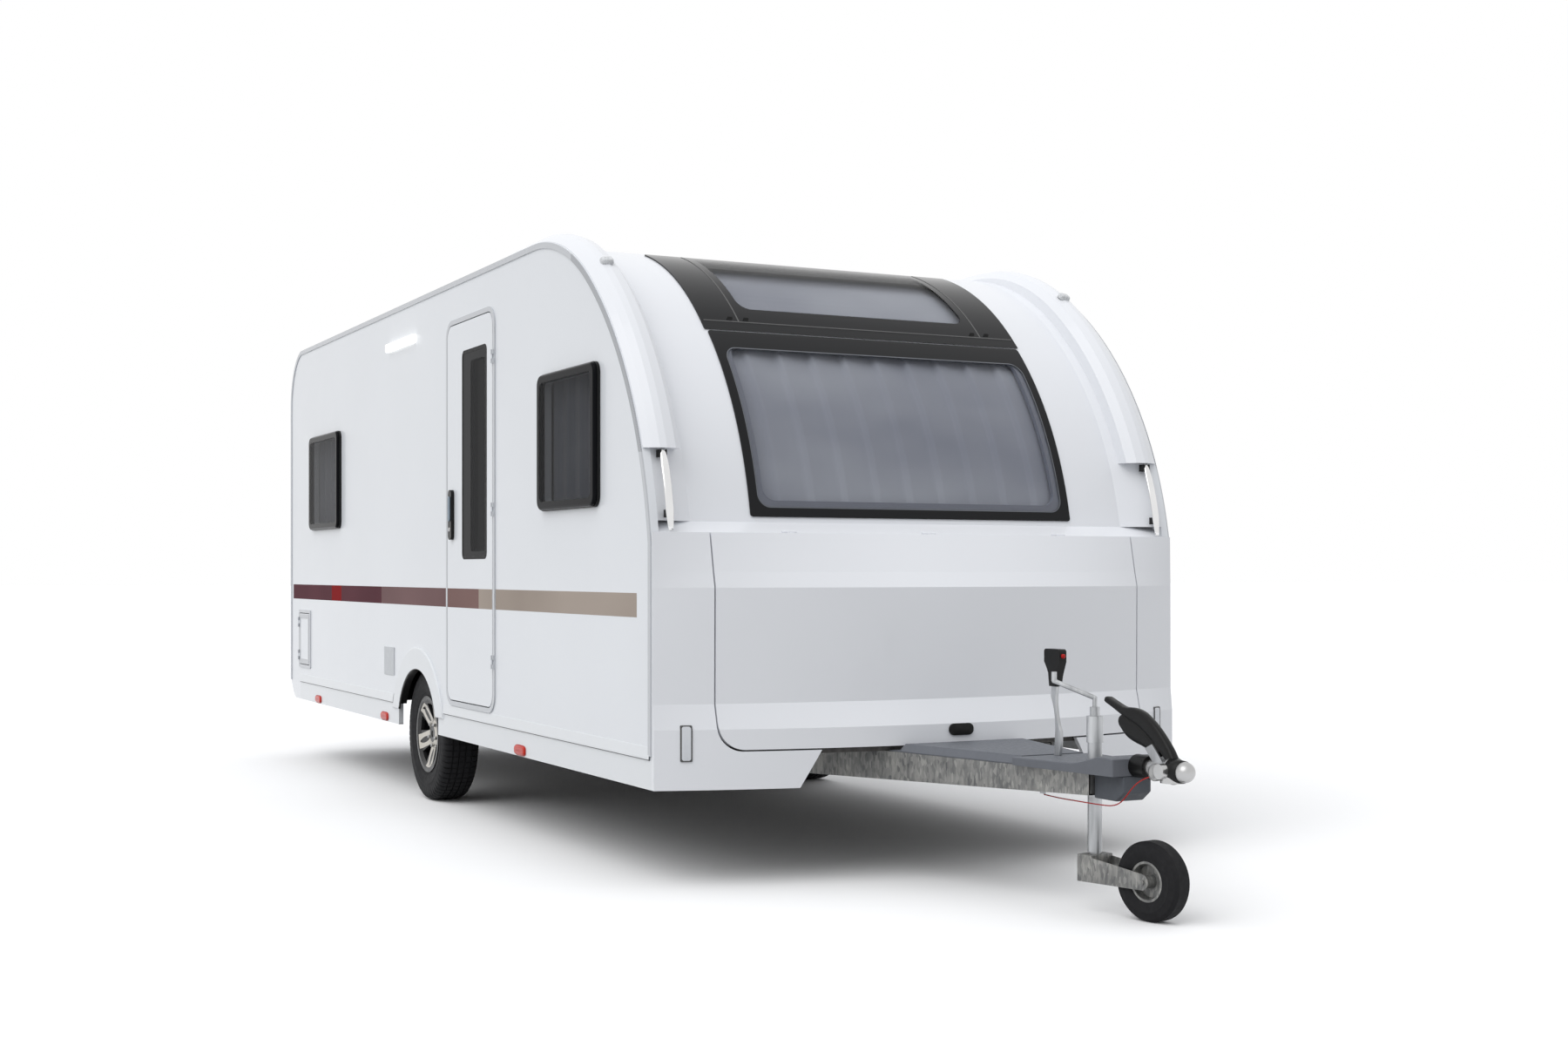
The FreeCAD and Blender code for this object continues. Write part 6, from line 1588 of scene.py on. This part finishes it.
# %% [markdown]
# The drawbar's rails are pressed channels that grow slimmer towards the coupling: the top edge is
# level, and the lower one rises. A section swept along a line couldn't taper like that, so it is
# worked out at each step. A cross plate ties the rails in front and a bored clamp holds the
# jockey wheel's tube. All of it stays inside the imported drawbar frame.

# %% Drawbar rails
RAIL_LOW, RAIL_HIGH = corners_of("drawbar_frame")
RAIL_FRONT_OUT = 0.075
RAIL_REAR_OUT = 0.5
FLANGE = 0.05
SHEET_METAL = 0.005
FRONT_FLANGE_SHARE = 0.85
FRONT_WEB = 0.076
RAIL_STEPS = 8
TIE_THICK = 0.012
CLAMP_LOW, CLAMP_HIGH = 0.400, 0.450
CLAMP_HALF = 0.034
CLAMP_INSIDE = 0.0025
TUBE_RADIUS = 0.0242


def rail_out(back):
    """How far the rails' outer face stands from the middle, at a place along the length."""
    share = (back - RAIL_LOW.y) / (RAIL_HIGH.y - RAIL_LOW.y)
    return RAIL_FRONT_OUT + (RAIL_REAR_OUT - RAIL_FRONT_OUT) * share


def channel(side, back, foot, flange):
    """The channel's section, open towards the middle."""
    out, top, skin = rail_out(back), RAIL_HIGH.z, SHEET_METAL
    section = [(0, top), (flange, top), (flange, top - skin), (skin, top - skin),
               (skin, foot + skin), (flange, foot + skin), (flange, foot), (0, foot)]
    return [Vector((side * (out - inward), back, height)) for inward, height in section]


def rail(side):
    rows = []
    for share in between(0, 1, RAIL_STEPS):
        back = RAIL_LOW.y + (RAIL_HIGH.y - RAIL_LOW.y) * share
        foot = RAIL_HIGH.z - FRONT_WEB + (RAIL_LOW.z - RAIL_HIGH.z + FRONT_WEB) * share
        flange = FLANGE * (FRONT_FLANGE_SHARE + (1 - FRONT_FLANGE_SHARE) * share)
        rows.append(channel(side, back, foot, flange))
    return capped(rows)


def clamp_half(side):
    """Half of the clamp's plate, with half of the bore for the tube."""
    ahead, behind = tube_back - CLAMP_HALF, tube_back + CLAMP_HALF
    outline = [(0, ahead, CLAMP_LOW),
               (side * (rail_out(ahead) - CLAMP_INSIDE), ahead, CLAMP_LOW),
               (side * (rail_out(behind) - CLAMP_INSIDE), behind, CLAMP_LOW),
               (0, behind, CLAMP_LOW)]
    outline += [(side * TUBE_RADIUS * math.sin(math.radians(angle)),
                 tube_back + TUBE_RADIUS * math.cos(math.radians(angle)), CLAMP_LOW)
                for angle in range(0, 181, 15)]
    return plate_of(outline, (0, 0, 1), CLAMP_HIGH - CLAMP_LOW)


tube_back = middle_of("jockey_tube").y
tie_foot = RAIL_HIGH.z - FRONT_WEB
tie = plate_of([(across, RAIL_LOW.y, height) for across, height in (
    (-RAIL_FRONT_OUT, tie_foot), (RAIL_FRONT_OUT, tie_foot), (RAIL_FRONT_OUT, RAIL_HIGH.z),
    (-RAIL_FRONT_OUT, RAIL_HIGH.z))], REARWARD, TIE_THICK)
rail_parts = [rail(side) for side in BOTH] + [tie]
rail_parts += [clamp_half(side) for side in BOTH]
drawbar_rails = join_parts("drawbar_rails", rail_parts, zinc_steel, "caravan", "galvanised")
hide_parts("drawbar_frame")
print("drawbar rails", len(drawbar_rails.data.polygons), "faces")

# %% [markdown]
# A grey plastic tray closes the drawbar between the cover and the body. It lies on the rails, and
# dips before it reaches the lid. A flat plate would miss its sloped sides, so it is drawn by four
# sections along its length.

# %% Drawbar plate
PLATE_SEAT = 0.0005
TRAY_RISE, TRAY_DIP = 0.03, 0.004
TRAY_SLOPE = 0.03
TRAY_INSIDE = 0.006
TRAY_EDGE = 0.016
plate_front = corners_of("drawbar_cover")[1].y + 0.002
plate_back = corners_of("floor")[0].y - 0.004
tray_back = corners_of("front_lid")[0].y - TRAY_SLOPE
foot = RAIL_HIGH.z + PLATE_SEAT
sections = []
for back, lift in ((plate_front, TRAY_RISE), (tray_back, TRAY_RISE),
                   (tray_back + TRAY_SLOPE, TRAY_DIP), (plate_back, TRAY_DIP)):
    outer = rail_out(back) - TRAY_INSIDE
    inner = outer - TRAY_EDGE
    sections.append([Vector((across, back, height)) for across, height in (
        (-outer, foot), (-outer, foot + TRAY_DIP), (-inner, foot + lift),
        (inner, foot + lift), (outer, foot + TRAY_DIP), (outer, foot))])
new_piece("drawbar_plate", *capped(sections), cover_plastic, "caravan", "grey_plastic")
print("tray from", round(plate_front, 3), "to", round(plate_back, 3))

# %% [markdown]
# A red release button stands at the top of the handbrake's grip. A short cylinder would do, but
# one turned profile gives it the soft rim that catches the light.

# %% Release button
GRIP_LOW, GRIP_HIGH = corners_of("handbrake_grip")
BUTTON_PROFILE = [(-0.006, 0.008), (0.005, 0.008), (0.008, 0.006), (0.0085, 0.0005)]
BUTTON_DROP = 0.024
button_place = (middle_of("handbrake_grip").x, GRIP_LOW.y, GRIP_HIGH.z - BUTTON_DROP)
new_piece("release_button", *turned_shell(BUTTON_PROFILE, 20, button_place, -REARWARD),
          button_red, "caravan", "black_plastic", True)
print("button at", [round(value, 3) for value in button_place])

# %% [markdown]
# A shallow band runs along the foot of each side wall, over the joint with the sill. Its lower
# edge casts a thin line, which a bump in the finish can't do, so the band is a real section,
# drawn along the straight wall. Under its lip lies a thin grey strip, which is painted shadow:
# it stands for the shade that the lip casts. Both stop at the wheel arch.

# %% Sill bands
BAND = ((0.503, -0.001), (0.502, 0.0015), (0.466, 0.0062), (0.4585, 0.0064), (0.4575, -0.001))
# The second section is painted shadow: a thin grey strip under the band's lip, for the shade it
# casts.
SILL_SHADOW_SECTION = ((0.4583, 0.0062), (0.4545, 0.0016), (0.4540, -0.0005))
ARCH_LOW, ARCH_HIGH = corners_of("wheel_arch_trims")
BAND_SPANS = ((NOSE_SEAM + 0.012, ARCH_LOW.y - 0.002), (ARCH_HIGH.y + 0.002, TAIL - 0.255))


def along_sills(section):
    """A section of (height, proud) drawn along both walls, before and behind the arch."""
    return [sheet_of([[Vector((side * (FAR_FACE + proud), place, height))
                       for height, proud in section] for place in span])
            for side in BOTH for span in BAND_SPANS]


join_parts("sill_bands", along_sills(BAND), sill_white, "caravan", "gloss_white")
# Painted shadow: a thin grey strip under the band's lip, where the lip casts its shade.
join_parts("sill_shadow_strips", along_sills(SILL_SHADOW_SECTION), grained_plastic("sill_shadow_grey", grey(120), 0.6),
           "caravan", "rubber_black")
print("sill bands", len(BOTH) * len(BAND_SPANS))

# %% [markdown]
# A pleated blind is drawn under the roof window too, in the same pale cloth. It is stretched, so
# its pleats are small and even. A flat sheet would leave the curved window, so each row is laid a
# little below it, where a line from above meets the window.

# %% Roof blind
ROOF_BLIND_HALF = 0.58
ROOF_BLIND_BELOW = 0.034
ROOF_PLEAT, ROOF_PITCH = 0.0018, 0.036
ROOF_BLIND_ROWS, ROOF_BLIND_STEPS = 36, 24
ABOVE_ROOF = 3.0
rows = []
for back in between(SKY_LOW.y + 0.035, SKY_HIGH.y - 0.004, ROOF_BLIND_ROWS):
    ripple = ROOF_PLEAT * math.sin(2 * math.pi * back / ROOF_PITCH)
    row = []
    for across in between(-ROOF_BLIND_HALF, ROOF_BLIND_HALF, ROOF_BLIND_STEPS):
        spot, normal, face, far = sky_surface.ray_cast(Vector((across, back, ABOVE_ROOF)),
                                                       Vector((0, 0, -1)))
        row.append(spot - normal * (ROOF_BLIND_BELOW + ripple))
    rows.append(row)
roof_blind = new_piece("roof_blind", *sheet_of(rows), blind_cloth, "caravan",
                       "curtain_cloth", True)
middle_row, middle_step = ROOF_BLIND_ROWS // 2, ROOF_BLIND_STEPS // 2
row_length(rows[middle_row])
row_length([row[middle_step] for row in rows])
print("roof blind", [round(value, 3) for value in roof_blind.dimensions])

# %% [markdown]
# The breakaway cable runs from the handbrake's foot along the drawbar's rail to the coupling. It
# is a thin coated wire, and stiff enough to hold the bow it is bent into, so a simulation would
# add nothing. A curve along a few listed points, with a round bevel, is the simplest wire: its
# thickness is one value.

# %% Breakaway cable
CABLE_RADIUS = 0.002
CABLE_POINTS = [
    (-0.066, -0.862, 0.369), (-0.066, -0.95, 0.366), (-0.066, -1.047, 0.367),
    (-0.066, -1.168, 0.368), (-0.066, -1.25, 0.371), (-0.066, -1.300, 0.392),
    (-0.064, -1.345, 0.440), (-0.060, -1.395, 0.474), (-0.052, -1.431, 0.484),
]
cable_curve = bpy.data.curves.new("breakaway_cable", "CURVE")
cable_curve.dimensions = "3D"
cable_curve.bevel_depth = CABLE_RADIUS
cable_curve.bevel_resolution = 3
spline = cable_curve.splines.new("NURBS")
spline.points.add(len(CABLE_POINTS) - 1)
for point, (across, ahead, height) in zip(spline.points, CABLE_POINTS):
    point.co = (across, NOSE_SEAM + ahead, height, 1)
spline.order_u = 3
spline.use_endpoint_u = True
cable_curve.materials.append(grained_plastic("cable_red", tone(170, 34, 30), 0.4))
cable = into_scene("breakaway_cable", cable_curve)
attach(cable, "caravan")
BRACKET_ACROSS = -0.072
BRACKET_AHEAD = (NOSE_SEAM - 0.875, NOSE_SEAM - 0.845)
BRACKET_UP = (0.372, 0.408)
bracket = [(BRACKET_ACROSS, BRACKET_AHEAD[end], BRACKET_UP[top])
           for end, top in ((0, 0), (1, 0), (1, 1), (0, 1))]
new_piece("cable_bracket", *plate_of(bracket, (1, 0, 0), 0.004), plated_steel_with_highlights, "caravan",
          "galvanised")

# %% [markdown]
# The studio floor is one large sheet. A white one would throw light up at the caravan and wash
# out its shadow. So its own colour is a grey, and for the camera it is lifted to the white of the
# background.

# %% Studio floor
FLOOR_WHITE = 1.0
FLOOR_SHADE = 0.44
FLOOR_REACH = 150.0


def seen_plainly(owner):
    """1 for what the camera, a reflection or a view through glass sees, 0 for light."""
    paths = add_node(owner, "ShaderNodeLightPath")
    return highest([Value(owner, paths.outputs[kind])
                    for kind in ("Is Camera Ray", "Is Glossy Ray", "Is Transmission Ray")])


floor_finish = new_finish("studio_floor", level(FLOOR_SHADE), 0.6)
tune(floor_finish, {"Specular IOR Level": 0.0})
lay_over(floor_finish, seen_plainly(floor_finish), level(FLOOR_WHITE))
floor_mesh = bpy.data.meshes.new("studio_floor")
floor_mesh.from_pydata(
    [(-FLOOR_REACH, -FLOOR_REACH, 0), (FLOOR_REACH, -FLOOR_REACH, 0),
     (FLOOR_REACH, FLOOR_REACH, 0), (-FLOOR_REACH, FLOOR_REACH, 0)], [], [(0, 1, 2, 3)])
floor_mesh.materials.append(floor_finish)
studio_floor = into_scene("studio_floor", floor_mesh)
print("floor shade", FLOOR_SHADE)

# %% [markdown]
# The light is a bright, even studio. Large lamps could make it, but each would show in the glossy
# sheet. Here the world is a soft dome that is brighter above and on the door side, so the front
# stands a tone darker than the side. The camera and the reflections see it as plain white. A
# broad sun from the upper left gives the lid and the brow their highlights.

# %% Light
DOME_BASE = 0.46
DOME_RISE = 0.62
DOME_DOOR_SIDE = 0.26
DOME_COLOUR = tone(252, 253, 255)
SUN_STRENGTH = 0.9
SUN_SPREAD = math.radians(50)
SUN_WAY = Vector((0.62, 0.25, -0.74))
world = bpy.data.worlds.new("studio")
bpy.context.scene.world = world
world.use_nodes = True
world.node_tree.nodes.clear()


def background(colour):
    node = add_node(world, "ShaderNodeBackground")
    node.inputs["Color"].default_value = (*colour, 1)
    return node


way = split_place(world, "Generated")
dome_level = (way["Z"].at_least(0) * DOME_RISE
              + (way["X"] * -1).at_least(0) * DOME_DOOR_SIDE + DOME_BASE)
dome = background(DOME_COLOUR)
link(world, dome_level, dome.inputs["Strength"])
white = background(level(1.0))
mix = add_node(world, "ShaderNodeMixShader")
output = add_node(world, "ShaderNodeOutputWorld")
link(world, seen_plainly(world), mix.inputs["Fac"])
link(world, dome.outputs[0], mix.inputs[1])
link(world, white.outputs[0], mix.inputs[2])
link(world, mix.outputs[0], output.inputs["Surface"])

sun_data = bpy.data.lights.new("soft_sun", "SUN")
sun_data.energy = SUN_STRENGTH
sun_data.angle = SUN_SPREAD
soft_sun = into_scene("soft_sun", sun_data)
soft_sun.rotation_euler = SUN_WAY.to_track_quat("-Z", "Y").to_euler()
bpy.context.scene.view_settings.view_transform = "Standard"
print("dome", DOME_BASE, DOME_RISE, DOME_DOOR_SIDE, "sun", SUN_STRENGTH)
